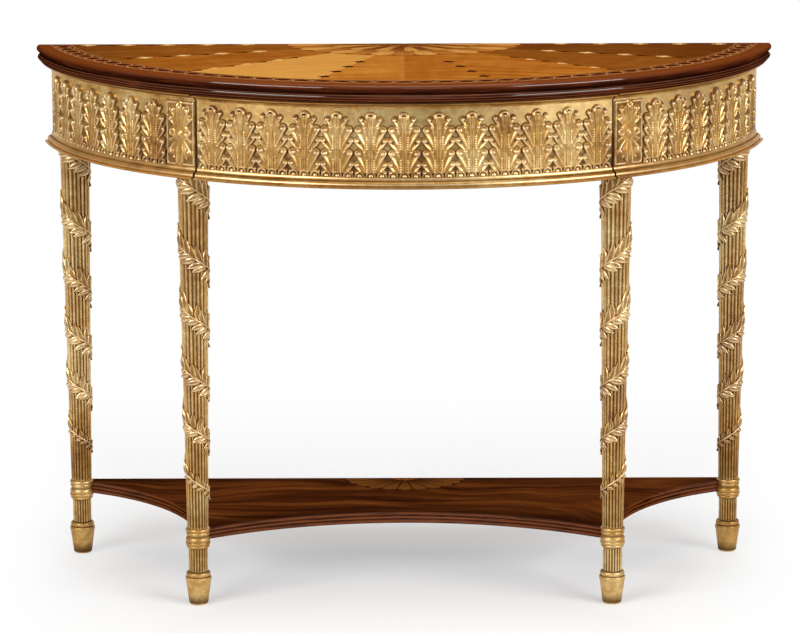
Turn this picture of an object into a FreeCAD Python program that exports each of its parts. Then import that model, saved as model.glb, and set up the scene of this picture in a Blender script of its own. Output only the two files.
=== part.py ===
import FreeCAD, Part
import math
import os
import Sketcher
from FreeCAD import Placement, Rotation, Vector

# Half-round console table: carved and gilded apron with a drawer, four fluted legs, a low shelf and an inlaid top.
# Origin under the middle of the table on the floor, +X to the right, +Y towards the wall, +Z up.
# Curved members share one arc centre, which lies behind the wall. Angles are counted from the front, in degrees.

doc = FreeCAD.newDocument("demilune_table")

# Driving dimensions in millimetres, angles in degrees
driving = {
    # whole table
    "table_height": 900,
    "top_radius": 647,
    "arc_setback": 125,
    "cut_overrun": 5,
    # top
    "top_thickness": 29.5,
    "veneer_thickness": 1.5,
    "lipping_width": 24,
    "lipping_foot_inset": 5.5,
    "lipping_foot_height": 2,
    "lipping_bead_flat": 0.4,
    "lipping_groove_height": 1.5,
    "lipping_groove_depth": 1.5,
    "band_width": 35,
    "patera_half_width": 205,
    "patera_depth": 158,
    # apron
    "frieze_setback": 24.5,
    "rail_thickness": 16,
    "apron_height": 139.5,
    "cove_height": 10.5,
    "cove_projection": 16.5,
    "cove_radius": 17,
    "cove_lip_height": 2,
    "cove_foot_width": 1.5,
    "base_height": 18.5,
    "base_projection": 13.5,
    "base_foot_height": 3,
    "base_ledge_width": 4.5,
    "base_torus_height": 8.5,
    "base_torus_radius": 7,
    "base_torus_top_width": 4.8,
    "base_quirk_depth": 0.8,
    "base_hollow_radius": 9,
    "base_top_width": 1.5,
    "drawer_half_angle": 33,
    "drawer_gap_angle": 0.3,
    "apron_end_angle": 84,
    # carved frieze
    "leaf_count_drawer": 13,
    "leaf_count_side": 7,
    "leaf_pitch_angle": 4.98,
    "side_leaf_pitch_angle": 5.2,
    "leaf_top_gap": 5,
    "leaf_side_gap": 1.65,
    "leaf_relief": 5,
    "leaf_base_gap": 9.5,
    "beads_per_leaf": 3,
    "bead_radius": 8.5,
    "bead_relief": 5,
    "plaque_angle": 5.5,
    "plaque_margin_angle": 0.05,
    "plaque_border_angle": 0.52,
    "plaque_foot_margin": 0.5,
    "plaque_top_margin": 3.5,
    "plaque_border": 5,
    "plaque_relief": 3,
    "boss_radius": 6.5,
    "boss_relief": 6,
    # frame inside the apron
    "post_half_width": 30,
    "post_depth": 100,
    "rear_post_width": 31,
    "rear_post_depth": 54,
    "back_rail_thickness": 20,
    "lower_rail_height": 14,
    "upper_rail_height": 20,
    "runner_width": 55,
    "guide_width": 20,
    "guide_height": 30,
    "guide_post_gap": 5.7,
    "stop_length": 10,
    "stop_width": 30,
    "stop_height": 28,
    "stop_inset": 40,
    "block_depth": 26,
    "block_height": 24,
    "block_angle": 4,
    "block_count": 3,
    "block_first_angle": 46,
    "block_pitch_angle": 10,
    # top screws
    "screw_shank_radius": 2,
    "screw_head_radius": 4.2,
    "screw_head_height": 3.4,
    "screw_length": 36,
    "screw_edge_inset": 28,
    # drawer
    "drawer_front_thickness": 14,
    "drawer_top_gap": 1.5,
    "drawer_side_thickness": 12,
    "drawer_kicker_gap": 3.9,
    "drawer_bottom_thickness": 6,
    "drawer_lift": 0.6,
    "drawer_guide_gap": 1.5,
    "drawer_stop_gap": 0.5,
    # legs
    "leg_setback": 32.5,
    "front_leg_angle": 36.05,
    "rear_leg_wall_gap": 0.2,
    "leg_top_radius": 25.3,
    "leg_foot_radius": 17.6,
    "tenon_radius": 11,
    "tenon_length": 45,
    "tenon_clearance": 0.1,
    "foot_base_radius": 13,
    "foot_toe_radius": 16,
    "foot_toe_height": 4,
    "foot_toe_round": 4.5,
    "foot_body_radius": 21,
    "foot_body_height": 41,
    "foot_ring_height": 7,
    "foot_ring_round": 6.8,
    "foot_fillet_radius": 18.6,
    "foot_fillet_height": 1,
    "foot_bead_height": 7,
    "foot_bead_round": 4.2,
    "neck_radius": 15.9,
    "collar_height": 98.5,
    "collar_radius": 18,
    "collar_bead_height": 4.7,
    "collar_bead_round": 2.8,
    "collar_band_radius": 19.7,
    "collar_band_height": 5.8,
    "collar_band_round": 4.6,
    "collar_swell_height": 8.8,
    "collar_swell_round": 9,
    "collar_waist_radius": 17.5,
    "collar_waist_height": 2.2,
    "collar_torus_height": 6,
    "collar_torus_round": 3.6,
    "collar_cap_radius": 18.9,
    "collar_cap_height": 6,
    "collar_cap_round": 3.6,
    "flute_count": 20,
    "flute_end_gap": 4,
    "flute_depth": 1.3,
    "flute_top_radius": 3.4,
    "flute_foot_radius": 2.0,
    "neck_flute_radius": 1.75,
    # shelf
    "shelf_thickness": 19,
    "shelf_back_setback": 6,
    "shelf_leg_inset": 3,
    "shelf_front_radius": 589,
    "shelf_side_radius": 367,
    "shelf_reed_radius": 1.4,
    "fan_half_width": 108,
    "fan_depth": 86,
    "fan_thickness": 1,
    "dowel_radius": 4,
    "dowel_leg_depth": 8,
    "dowel_shelf_depth": 34,
}

# Leaf outline on its right side, from the foot up: notches and the lobe crest between each two of them,
# as shares of the leaf's half width and height
leaf_notch_shares = ((0.34, 0.00), (0.66, 0.24), (0.60, 0.47), (0.66, 0.70), (0.38, 0.88), (0.00, 1.00))
leaf_lobe_shares = ((0.78, 0.12), (0.88, 0.355), (0.90, 0.58), (0.78, 0.80), (0.30, 0.965))

right_angle = 90
full_turn = 360

sheet = doc.addObject("Spreadsheet::Sheet", "Sizes")
for row, (alias, number) in enumerate(driving.items(), start=1):
    sheet.set(f"A{row}", alias)
    sheet.set(f"B{row}", str(number))
    sheet.setAlias(f"B{row}", alias)
doc.recompute()


class Size:
    """A dimension that knows its value and the sheet expression that gives it."""

    def __init__(self, value, text):
        self.value = value
        self.text = text

    def __add__(self, other):
        other = as_size(other)
        return Size(self.value + other.value, f"({self.text} + {other.text})")

    def __sub__(self, other):
        other = as_size(other)
        return Size(self.value - other.value, f"({self.text} - {other.text})")

    def __rsub__(self, other):
        return as_size(other) - self

    def __mul__(self, other):
        other = as_size(other)
        return Size(self.value * other.value, f"({self.text} * {other.text})")

    __radd__ = __add__
    __rmul__ = __mul__

    def __truediv__(self, other):
        other = as_size(other)
        return Size(self.value / other.value, f"({self.text} / {other.text})")

    def __neg__(self):
        return Size(-self.value, f"(-{self.text})")


def as_size(number):
    return number if isinstance(number, Size) else Size(float(number), str(number))


def size(alias):
    return Size(float(sheet.get(alias)), f"Sizes.{alias}")


def sine(angle):
    return Size(math.sin(math.radians(angle.value)), f"sin({angle.text})")


def cosine(angle):
    return Size(math.cos(math.radians(angle.value)), f"cos({angle.text})")


def arc_cosine(share):
    return Size(math.degrees(math.acos(share.value)), f"(acos({share.text}) / 1 deg)")


def root(square):
    return Size(math.sqrt(square.value), f"sqrt({square.text})")


def bulge(radius, chord):
    """How far an arc of this radius stands out from its chord."""
    return radius - root(radius * radius - chord * chord / 4)


def dome_radius(edge_radius, rise):
    """Radius of the ball whose cap has this edge and rise."""
    return (edge_radius * edge_radius / rise + rise) / 2


def bind(obj, **properties):
    for name, dimension in properties.items():
        obj.setExpression(name, as_size(dimension).text)
    return obj


def place(obj, x=0, y=0, z=0, turn=None):
    for axis, dimension in zip("xyz", (x, y, z)):
        obj.setExpression(f"Placement.Base.{axis}", as_size(dimension).text)
    if turn is not None:
        obj.setExpression("Placement.Rotation.Angle", turn.text)
    return obj


# Levels and lines that several pieces share
centre_y = (size("top_radius") + size("arc_setback")) / 2
back_y = centre_y - size("arc_setback")
frame_top = size("table_height") - size("top_thickness")
frame_foot = frame_top - size("apron_height")
board_radius = size("top_radius") - size("lipping_width")
band_inner_radius = board_radius - size("band_width")
frieze_radius = size("top_radius") - size("frieze_setback")
rail_inner_radius = frieze_radius - size("rail_thickness")
frieze_foot = frame_foot + size("base_height")
frieze_top = frame_top - size("cove_height")
leg_circle_radius = frieze_radius - size("leg_setback")
front_leg_x = leg_circle_radius * sine(size("front_leg_angle"))
front_leg_y = centre_y - leg_circle_radius * cosine(size("front_leg_angle"))
rear_leg_y = back_y - size("leg_top_radius") - size("rear_leg_wall_gap")
rear_leg_angle = arc_cosine((centre_y - rear_leg_y) / leg_circle_radius)
rear_leg_x = leg_circle_radius * sine(rear_leg_angle)
post_inner_x = front_leg_x - size("post_half_width")
post_back_y = front_leg_y + size("post_half_width")
back_rail_front_y = back_y - size("back_rail_thickness")
shelf_foot = size("collar_height") + size("collar_bead_height") + size("collar_band_height")
shelf_top = shelf_foot + size("shelf_thickness")
waist_foot = shelf_foot + size("collar_swell_height")
waist_top = waist_foot + size("collar_waist_height")
shaft_foot = waist_top + size("collar_torus_height") + size("collar_cap_height")
shelf_back_y = back_y - size("shelf_back_setback")
drawer_angle = size("drawer_half_angle") - size("drawer_gap_angle")
drawer_inner_radius = frieze_radius - size("drawer_front_thickness")
drawer_top = frame_top - size("drawer_top_gap")
drawer_foot = frame_foot + size("lower_rail_height") + size("drawer_lift")
drawer_rear_y = back_rail_front_y - size("stop_length") - size("drawer_stop_gap")
kicker_foot = frame_top - size("upper_rail_height")
drawer_half_width = post_inner_x - size("guide_post_gap") - size("guide_width") - size("drawer_guide_gap")
veneer_foot = size("table_height") - size("veneer_thickness")

sides = (("left", -1), ("right", 1))


# Modelling helpers
def origin_plane(body, role):
    return next(feature for feature in body.Origin.OriginFeatures if feature.Role == role)


def arc_through(start, end, radius, turn):
    """Arc between two points, turning left (+1) or right (-1) along the outline."""
    chord = end - start
    half = chord.Length / 2
    rise = math.sqrt(radius * radius - half * half)
    left = Vector(-chord.y, chord.x, 0).normalize()
    middle = (start + end) / 2
    crest = middle - left * turn * (radius - rise)
    return Part.Arc(start, crest, end)


def draw_outline(sketch, corners):
    """Closed outline through the corners; a corner may add the radius and turn of the arc that leaves it."""
    points = [Vector(as_size(corner[0]).value, as_size(corner[1]).value, 0) for corner in corners]
    edges = []
    dimensions = []
    for number, corner in enumerate(corners):
        start = points[number]
        end = points[(number + 1) % len(points)]
        if len(corner) == 2:
            edges.append(Part.LineSegment(start, end))
        else:
            edges.append(arc_through(start, end, corner[2].value, corner[3]))
    sketch.addGeometry(edges, False)
    # an arc that turns right is stored from its end to its start
    first_vertex = [2 if len(corner) > 2 and corner[3] < 0 else 1 for corner in corners]
    constraints = []
    for number, corner in enumerate(corners):
        following = (number + 1) % len(corners)
        constraints.append(Sketcher.Constraint("Coincident", number, 3 - first_vertex[number],
                                               following, first_vertex[following]))
    for number, corner in enumerate(corners):
        for kind, dimension in zip(("DistanceX", "DistanceY"), corner):
            dimensions.append((len(constraints), as_size(dimension)))
            constraints.append(Sketcher.Constraint(kind, -1, 1, number, first_vertex[number],
                                                   as_size(dimension).value))
        if len(corner) > 2:
            dimensions.append((len(constraints), corner[2]))
            constraints.append(Sketcher.Constraint("Radius", number, corner[2].value))
    sketch.addConstraint(constraints)
    for index, dimension in dimensions:
        sketch.setExpression(f"Constraints[{index}]", dimension.text)


def new_sketch(body, name, role):
    sketch = body.newObject("Sketcher::SketchObject", name)
    sketch.AttachmentSupport = (origin_plane(body, role), [""])
    sketch.MapMode = "FlatFace"
    return sketch


def new_body(label):
    body = doc.addObject("PartDesign::Body", label)
    body.Label = label
    return body


def turned(label, profile, sweep=full_turn):
    """Profile of radius and height corners, swept about the vertical axis of a body."""
    body = new_body(label)
    sketch = new_sketch(body, f"{label}_profile", "XZ_Plane")
    draw_outline(sketch, profile)
    revolution = body.newObject("PartDesign::Revolution", f"{label}_turning")
    revolution.Profile = sketch
    revolution.ReferenceAxis = (sketch, ["V_Axis"])
    bind(revolution, Angle=sweep)
    return body


def sector_turn(hand, first_angle, sweep):
    """Turn of a body about the arc centre so that its sweep starts at this angle from the front."""
    quarter_turns = full_turn - right_angle
    if hand > 0:
        return first_angle + quarter_turns
    return quarter_turns - first_angle - sweep


def curved_member(label, profile, hand, first_angle, sweep):
    body = turned(label, profile, sweep)
    return place(body, y=centre_y, turn=sector_turn(hand, first_angle, sweep))


def box(label, x, y, z):
    """Box between a low and a high bound on each axis."""
    obj = doc.addObject("Part::Box", label)
    obj.Label = label
    bind(obj, Length=x[1] - x[0], Width=y[1] - y[0], Height=z[1] - z[0])
    return place(obj, x[0], y[0], z[0])


def cylinder(label, radius, x, y, z):
    obj = doc.addObject("Part::Cylinder", label)
    obj.Label = label
    bind(obj, Radius=radius, Height=z[1] - z[0])
    return place(obj, x, y, z[0])


def combined(kind, label, base, tool):
    obj = doc.addObject(f"Part::{kind}", label)
    obj.Label = label
    obj.Base = base
    obj.Tool = tool
    return obj


def cut(label, base, tool):
    return combined("Cut", label, base, tool)


def common(label, base, tool):
    return combined("Common", label, base, tool)


def group(label, objects):
    obj = doc.addObject("Part::Compound", label)
    obj.Label = label
    obj.Links = objects
    return obj


def across(hand, near, far):
    """Low and high x of a piece between two distances from the middle, on the given side."""
    return (near, far) if hand > 0 else (-far, -near)


def annulus(inner, outer, foot, top):
    return [(inner, foot), (outer, foot), (outer, top), (inner, top)]


def half_oval(label, half_width, depth, y, foot, thickness):
    """Flat oval disc centred on a line at y, its long axis along X."""
    edge = doc.addObject("Part::Ellipse", f"{label}_edge")
    bind(edge, MajorRadius=half_width, MinorRadius=depth)
    place(edge, y=y, z=foot)
    disc = doc.addObject("Part::Extrusion", label)
    disc.Label = label
    disc.Base = edge
    disc.DirMode = "Custom"
    disc.Dir = Vector(0, 0, 1)
    disc.Solid = True
    bind(disc, LengthFwd=thickness)
    return disc


parts = []


def keep(obj):
    parts.append(obj)
    return obj


# Space behind the table, which ends every member flush with the wall plane
behind_wall = box("behind_wall", (-size("top_radius") - size("cut_overrun"), size("top_radius") + size("cut_overrun")),
                  (back_y, centre_y + size("top_radius")), (-size("cut_overrun"),
                                                            size("table_height") + size("cut_overrun")))


# Top
def make_screws():
    """Wood screws that hold the top, driven up through the kickers, the upper rail and the glue blocks."""
    kicker_x = post_inner_x - size("screw_edge_inset")
    rail_y = post_back_y - size("screw_edge_inset")
    block_radius = rail_inner_radius - size("block_depth") / 2
    spots = []
    for side, hand in sides:
        spots.append((kicker_x * hand, post_back_y + size("screw_edge_inset"), kicker_foot))
        spots.append((kicker_x * hand, back_rail_front_y - size("screw_edge_inset"), kicker_foot))
        spots.append((kicker_x * hand / 2, rail_y, kicker_foot))
        for number in range(driving["block_count"]):
            angle = size("block_first_angle") + size("block_pitch_angle") * number
            spots.append((block_radius * sine(angle) * hand, centre_y - block_radius * cosine(angle),
                          frame_top - size("block_height")))
    screws = []
    for number, (x, y, foot) in enumerate(spots):
        shank = cylinder(f"screw_shank_{number}", size("screw_shank_radius"), x, y,
                         (foot, foot + size("screw_length")))
        head = doc.addObject("Part::Cone", f"screw_head_{number}")
        bind(head, Radius1=size("screw_head_radius"), Radius2=size("screw_shank_radius"),
             Height=size("screw_head_height"))
        place(head, x, y, foot)
        screws.append(combined("Fuse", f"screw_{number}", shank, head))
    return group("top_screws", screws)


top_screws = keep(make_screws())


def lipping_profile():
    """Moulded edge of the top: a lower and an upper bead with a groove between them."""
    bead = (size("top_thickness") - size("lipping_groove_height") - size("lipping_foot_height")) / 2
    bead_radius = bead / 2 + size("lipping_bead_flat")
    upper_chord = size("top_radius") - bulge(bead_radius, bead)
    lower_chord = upper_chord - size("lipping_groove_depth")
    groove = lower_chord - size("lipping_groove_depth")
    upper_foot = size("table_height") - bead
    lower_top = upper_foot - size("lipping_groove_height")
    lower_foot = lower_top - bead
    return [
        (board_radius, frame_top),
        (size("top_radius") - size("lipping_foot_inset") - size("lipping_groove_depth"), frame_top),
        (lower_chord, lower_foot, bead_radius, 1),
        (lower_chord, lower_top),
        (groove, lower_top),
        (groove, upper_foot),
        (upper_chord, upper_foot, bead_radius, 1),
        (upper_chord, size("table_height")),
        (board_radius, size("table_height")),
    ]


def make_top():
    end = size("apron_end_angle")
    board = cut("top_board_flush", cylinder("top_board_round", board_radius, 0, centre_y, (frame_top, veneer_foot)),
                behind_wall)
    keep(cut("top_board", board, top_screws))
    keep(cut("top_lipping", curved_member("top_lipping_ring", lipping_profile(), 1, -end, end * 2), behind_wall))
    band = annulus(band_inner_radius, board_radius, veneer_foot, size("table_height"))
    keep(cut("top_band", curved_member("top_band_ring", band, 1, -end, end * 2), behind_wall))
    oval = half_oval("top_patera_oval", size("patera_half_width"), size("patera_depth"), back_y, veneer_foot,
                     size("veneer_thickness"))
    keep(cut("top_patera", oval, behind_wall))
    field = cylinder("top_field_round", band_inner_radius, 0, centre_y, (veneer_foot, size("table_height")))
    keep(cut("top_field", cut("top_field_flush", field, behind_wall), oval))


make_top()


# Apron: curved rails, mouldings, carved leaves, bead rows and plaques
def cove_profile(top):
    face = frieze_radius
    return [
        (face, frieze_top),
        (face + size("cove_foot_width"), frieze_top, size("cove_radius"), -1),
        (face + size("cove_projection"), top - size("cove_lip_height")),
        (face + size("cove_projection"), top),
        (face, top),
    ]


def base_profile():
    """Flaring foot of the apron: a square fillet, a leaning torus and a hollow under the bead row."""
    face = frieze_radius
    edge = face + size("base_projection")
    ledge = frame_foot + size("base_foot_height")
    torus_top = ledge + size("base_torus_height")
    torus_edge = face + size("base_torus_top_width")
    return [
        (face, frame_foot),
        (edge, frame_foot),
        (edge, ledge),
        (edge - size("base_ledge_width"), ledge, size("base_torus_radius"), 1),
        (torus_edge, torus_top),
        (torus_edge - size("base_quirk_depth"), torus_top, size("base_hollow_radius"), -1),
        (face + size("base_top_width"), frieze_foot),
        (face, frieze_foot),
    ]


def turned_about_centre(shape, angle):
    copy = shape.copy()
    copy.rotate(Vector(0, centre_y.value, 0), Vector(0, 0, 1), angle)
    return copy


def frieze_shell(relief, foot, top):
    """Shell of this thickness on the face of the frieze."""
    face = frieze_radius.value
    base = Vector(0, centre_y.value, foot)
    outer = Part.makeCylinder(face + relief, top - foot, base)
    return outer.cut(Part.makeCylinder(face, top - foot, base))


def leaf_solid():
    """One acanthus leaf at the middle of the front, lobed on both sides."""
    half_pitch = math.radians(size("leaf_pitch_angle").value) * frieze_radius.value / 2
    half_width = half_pitch - size("leaf_side_gap").value
    foot = frieze_foot.value + size("leaf_base_gap").value
    height = frieze_top.value - size("leaf_top_gap").value - foot
    relief = size("leaf_relief").value
    depth = frieze_radius.value - size("rail_thickness").value
    plane_y = centre_y.value - depth

    def point(shares, hand):
        return Vector(shares[0] * half_width * hand, plane_y, foot + shares[1] * height)

    edges = []
    for hand in (1, -1):
        for start, crest, end in zip(leaf_notch_shares, leaf_lobe_shares, leaf_notch_shares[1:]):
            edges.append(Part.Arc(point(start, hand), point(crest, hand), point(end, hand)).toShape())
    edges.append(Part.LineSegment(point(leaf_notch_shares[0], -1), point(leaf_notch_shares[0], 1)).toShape())
    face = Part.Face(Part.Wire(Part.__sortEdges__(edges)))
    block = face.extrude(Vector(0, -2 * size("rail_thickness").value, 0))
    return block.common(frieze_shell(relief, foot, foot + height))


def bead_solid():
    """One half-round domed bead at the middle of the front, over the hollow of the base moulding."""
    relief = size("bead_relief")
    radius = dome_radius(size("bead_radius"), relief)
    foot = frieze_foot.value
    ball_y = centre_y - frieze_radius - relief + radius
    ball = Part.makeSphere(radius.value, Vector(0, ball_y.value, foot))
    return ball.common(frieze_shell(relief.value, foot, foot + radius.value))


def pattern(label, solid, angles):
    obj = doc.addObject("Part::Feature", label)
    obj.Label = label
    obj.Shape = Part.makeCompound([turned_about_centre(solid, angle) for angle in angles])
    return obj


def spread(count, pitch, first):
    return [first + pitch * number for number in range(count)]


def make_frieze(label, count, pitch, middle):
    """Leaves and bead row of one panel, spread evenly about its middle angle."""
    beads = driving["beads_per_leaf"]
    first = middle - pitch * (count - 1) / 2
    keep(pattern(f"{label}_leaf_band", leaf_solid(), spread(count, pitch, first)))
    first_bead = first - pitch / 2 + pitch / beads / 2
    keep(pattern(f"{label}_bead_row", bead_solid(), spread(count * beads, pitch / beads, first_bead)))


def make_plaque(side, hand):
    """Framed plaque with a domed boss over a front leg."""
    face = frieze_radius
    outer = face + size("plaque_relief")
    first = size("drawer_half_angle") + size("plaque_margin_angle")
    sweep = size("plaque_angle") - size("plaque_margin_angle") * 2
    foot = frieze_foot + size("plaque_foot_margin")
    top = frieze_top - size("plaque_top_margin")
    slab = curved_member(f"{side}_plaque_slab", annulus(face, outer, foot, top), hand, first, sweep)
    border = size("plaque_border_angle")
    window = annulus(face - size("cut_overrun"), outer + size("cut_overrun"), foot + size("plaque_border"),
                     top - size("plaque_border"))
    opening = curved_member(f"{side}_plaque_window", window, hand, first + border, sweep - border * 2)
    frame = cut(f"{side}_plaque_frame", slab, opening)
    middle = first + sweep / 2
    boss = doc.addObject("Part::Sphere", f"{side}_plaque_ball")
    ball_radius = dome_radius(size("boss_radius"), size("boss_relief"))
    bind(boss, Radius=ball_radius)
    reach = face + size("boss_relief") - ball_radius
    place(boss, reach * sine(middle) * hand, centre_y - reach * cosine(middle), (foot + top) / 2)
    core = cylinder(f"{side}_plaque_core", face, 0, centre_y, (frame_foot, frame_top))
    keep(group(f"{side}_patera_plaque", [frame, cut(f"{side}_plaque_boss", boss, core)]))


def make_apron():
    for side, hand in sides:
        first = size("drawer_half_angle")
        sweep = size("apron_end_angle") - first
        rail = annulus(rail_inner_radius, frieze_radius, frame_foot, frame_top)
        for name, profile in (("apron_rail", rail), ("cove", cove_profile(frame_top)),
                              ("base_moulding", base_profile())):
            member = curved_member(f"{side}_{name}_arc", profile, hand, first, sweep)
            keep(cut(f"{side}_{name}", member, behind_wall))
        count = driving["leaf_count_side"]
        pitch = size("side_leaf_pitch_angle")
        panel_first = size("drawer_half_angle") + size("plaque_angle")
        middle = panel_first + pitch * count / 2
        make_frieze(side, count, pitch.value, middle.value * hand)
        make_plaque(side, hand)


make_apron()


# Frame inside the apron: posts over the legs, rails, drawer runners, guides, kickers, stops and glue blocks
def tenon_bore(label, x, y):
    radius = size("tenon_radius") + size("tenon_clearance")
    top = frame_foot + size("tenon_length") + size("tenon_clearance")
    return cylinder(label, radius, x, y, (frame_foot - size("cut_overrun"), top))


def make_posts():
    inside = cylinder("apron_inside", rail_inner_radius, 0, centre_y, (frame_foot, frame_top))
    height = (frame_foot, frame_top)
    for side, hand in sides:
        front_x = across(hand, post_inner_x, front_leg_x + size("post_half_width"))
        front = box(f"front_{side}_post_block", front_x, (post_back_y - size("post_depth"), post_back_y), height)
        front = common(f"front_{side}_post_curved", front, inside)
        keep(cut(f"front_{side}_post", front, tenon_bore(f"front_{side}_bore", front_leg_x * hand, front_leg_y)))
        rear_x = across(hand, rear_leg_x - size("rear_post_width"), rail_inner_radius)
        rear = box(f"rear_{side}_post_block", rear_x, (back_y - size("rear_post_depth"), back_y), height)
        rear = common(f"rear_{side}_post_curved", rear, inside)
        keep(cut(f"rear_{side}_post", rear, tenon_bore(f"rear_{side}_bore", rear_leg_x * hand, rear_leg_y)))
    rail_x = (-post_inner_x, post_inner_x)
    rail_y = (centre_y - frieze_radius, post_back_y)
    lower = box("lower_rail_board", rail_x, rail_y, (frame_foot, frame_foot + size("lower_rail_height")))
    keep(common("lower_rail", lower, inside))
    upper = box("upper_rail_board", rail_x, rail_y, (kicker_foot, frame_top))
    keep(cut("upper_rail", common("upper_rail_curved", upper, inside), top_screws))
    back_x = rear_leg_x - size("rear_post_width")
    keep(box("back_rail", (-back_x, back_x), (back_rail_front_y, back_y), height))


def make_runners():
    for side, hand in sides:
        length = (post_back_y, back_rail_front_y)
        width = across(hand, post_inner_x - size("runner_width"), post_inner_x)
        runner_top = frame_foot + size("lower_rail_height")
        keep(box(f"{side}_runner", width, length, (frame_foot, runner_top)))
        kicker = box(f"{side}_kicker_bar", width, length, (kicker_foot, frame_top))
        keep(cut(f"{side}_kicker", kicker, top_screws))
        guide_near = drawer_half_width + size("drawer_guide_gap")
        guide_x = across(hand, guide_near, guide_near + size("guide_width"))
        keep(box(f"{side}_guide", guide_x, length, (runner_top, runner_top + size("guide_height"))))


def make_stops():
    stops = []
    for side, hand in sides:
        far = drawer_half_width - size("stop_inset")
        x = across(hand, far - size("stop_width"), far)
        foot = drawer_foot + size("drawer_bottom_thickness")
        y = (back_rail_front_y - size("stop_length"), back_rail_front_y)
        stops.append(box(f"{side}_stop", x, y, (foot, foot + size("stop_height"))))
    keep(group("drawer_stops", stops))


def make_glue_blocks():
    profile = annulus(rail_inner_radius - size("block_depth"), rail_inner_radius,
                      frame_top - size("block_height"), frame_top)
    for side, hand in sides:
        blocks = []
        for number in range(driving["block_count"]):
            angle = size("block_first_angle") + size("block_pitch_angle") * number
            first = angle - size("block_angle") / 2
            blocks.append(curved_member(f"{side}_block_{number}", profile, hand, first, size("block_angle")))
        keep(cut(f"{side}_glue_blocks", group(f"{side}_block_set", blocks), top_screws))


make_posts()
make_runners()
make_stops()
make_glue_blocks()


# Drawer: curved front with its mouldings and carving, sides, back and bottom
def make_drawer():
    sweep = drawer_angle * 2
    front = annulus(drawer_inner_radius, frieze_radius, frame_foot, drawer_top)
    keep(curved_member("drawer_front", front, 1, -drawer_angle, sweep))
    keep(curved_member("drawer_cove", cove_profile(drawer_top), 1, -drawer_angle, sweep))
    keep(curved_member("drawer_base_moulding", base_profile(), 1, -drawer_angle, sweep))
    make_frieze("drawer", driving["leaf_count_drawer"], size("leaf_pitch_angle").value, 0)
    half_width = drawer_half_width
    length = (centre_y - frieze_radius, drawer_rear_y)
    bottom_top = drawer_foot + size("drawer_bottom_thickness")
    side_z = (bottom_top, kicker_foot - size("drawer_kicker_gap"))
    hollow = cylinder("drawer_inside", drawer_inner_radius, 0, centre_y, (frame_foot, frame_top))
    bottom = box("drawer_bottom_board", (-half_width, half_width), length, (drawer_foot, bottom_top))
    keep(common("drawer_bottom", bottom, hollow))
    inner = half_width - size("drawer_side_thickness")
    for side, hand in sides:
        board = box(f"drawer_{side}_side_board", across(hand, inner, half_width), length, side_z)
        keep(common(f"drawer_{side}_side", board, hollow))
    keep(box("drawer_back", (-inner, inner), (drawer_rear_y - size("drawer_side_thickness"), drawer_rear_y), side_z))


make_drawer()


# Shelf with concave reeded edges, let into the legs and pinned with dowels
def shelf_outline():
    inset = size("shelf_leg_inset")
    front_x = front_leg_x - inset
    rear_x = rear_leg_x - inset
    front_y = front_leg_y + inset
    return [
        (-front_x, front_leg_y, size("shelf_front_radius"), -1),
        (front_x, front_leg_y),
        (front_leg_x, front_y, size("shelf_side_radius"), -1),
        (rear_x, rear_leg_y),
        (rear_x, shelf_back_y),
        (-rear_x, shelf_back_y),
        (-rear_x, rear_leg_y, size("shelf_side_radius"), -1),
        (-front_leg_x, front_y),
    ]


def arc_centre(start, end, radius):
    """Centre of the arc that turns right from start to end."""
    span_x = end[0] - start[0]
    span_y = end[1] - start[1]
    chord = root(span_x * span_x + span_y * span_y)
    rise = root(radius * radius - chord * chord / 4)
    return ((start[0] + end[0]) / 2 + span_y / chord * rise, (start[1] + end[1]) / 2 - span_x / chord * rise)


def make_dowels():
    dowels = []
    for place_name, angle in (("front", size("front_leg_angle")), ("rear", rear_leg_angle)):
        for side, hand in sides:
            pin = doc.addObject("Part::Cylinder", f"{place_name}_{side}_dowel")
            bind(pin, Radius=size("dowel_radius"), Height=size("dowel_leg_depth") + size("dowel_shelf_depth"))
            reach = leg_circle_radius + size("dowel_leg_depth")
            start = Vector(0, 0, 1)
            inward = Vector(-hand * math.sin(math.radians(angle.value)), math.cos(math.radians(angle.value)), 0)
            pin.Placement = Placement(Vector(), Rotation(start, inward))
            place(pin, reach * sine(angle) * hand, centre_y - reach * cosine(angle),
                  (shelf_foot + shelf_top) / 2)
            dowels.append(pin)
    return group("shelf_dowels", dowels)


def make_shelf(dowels):
    body = new_body("shelf_blank")
    sketch = new_sketch(body, "shelf_outline", "XY_Plane")
    draw_outline(sketch, shelf_outline())
    pad = body.newObject("PartDesign::Pad", "shelf_pad")
    pad.Profile = sketch
    bind(pad, Length=size("shelf_thickness"))
    place(body, z=shelf_foot)
    corners = shelf_outline()
    arcs = ((corners[0], corners[1]), (corners[2], corners[3]), (corners[6], corners[7]))
    rings = []
    for number, (start, end) in enumerate(arcs):
        x, y = arc_centre(start, end, start[2])
        for third in (1, 2):
            ring = doc.addObject("Part::Torus", f"shelf_reed_{number}_{third}")
            bind(ring, Radius1=start[2], Radius2=size("shelf_reed_radius"))
            rings.append(place(ring, x, y, shelf_foot + size("shelf_thickness") * third / 3))
    board = body
    for number, ring in enumerate(rings):
        board = cut(f"shelf_reeded_{number}", board, ring)
    fan = half_oval("shelf_fan_oval", size("fan_half_width"), size("fan_depth"), shelf_back_y,
                    shelf_top - size("fan_thickness"), size("fan_thickness"))
    beyond = box("behind_shelf", (-size("top_radius"), size("top_radius")), (shelf_back_y, back_y + size("fan_depth")),
                 (shelf_foot - size("cut_overrun"), shelf_top + size("cut_overrun")))
    keep(cut("shelf_fan", fan, beyond))
    keep(cut("shelf_board", cut("shelf_recessed", board, fan), dowels))
    return body


shelf_dowels = keep(make_dowels())
shelf_blank = make_shelf(shelf_dowels)


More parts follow.
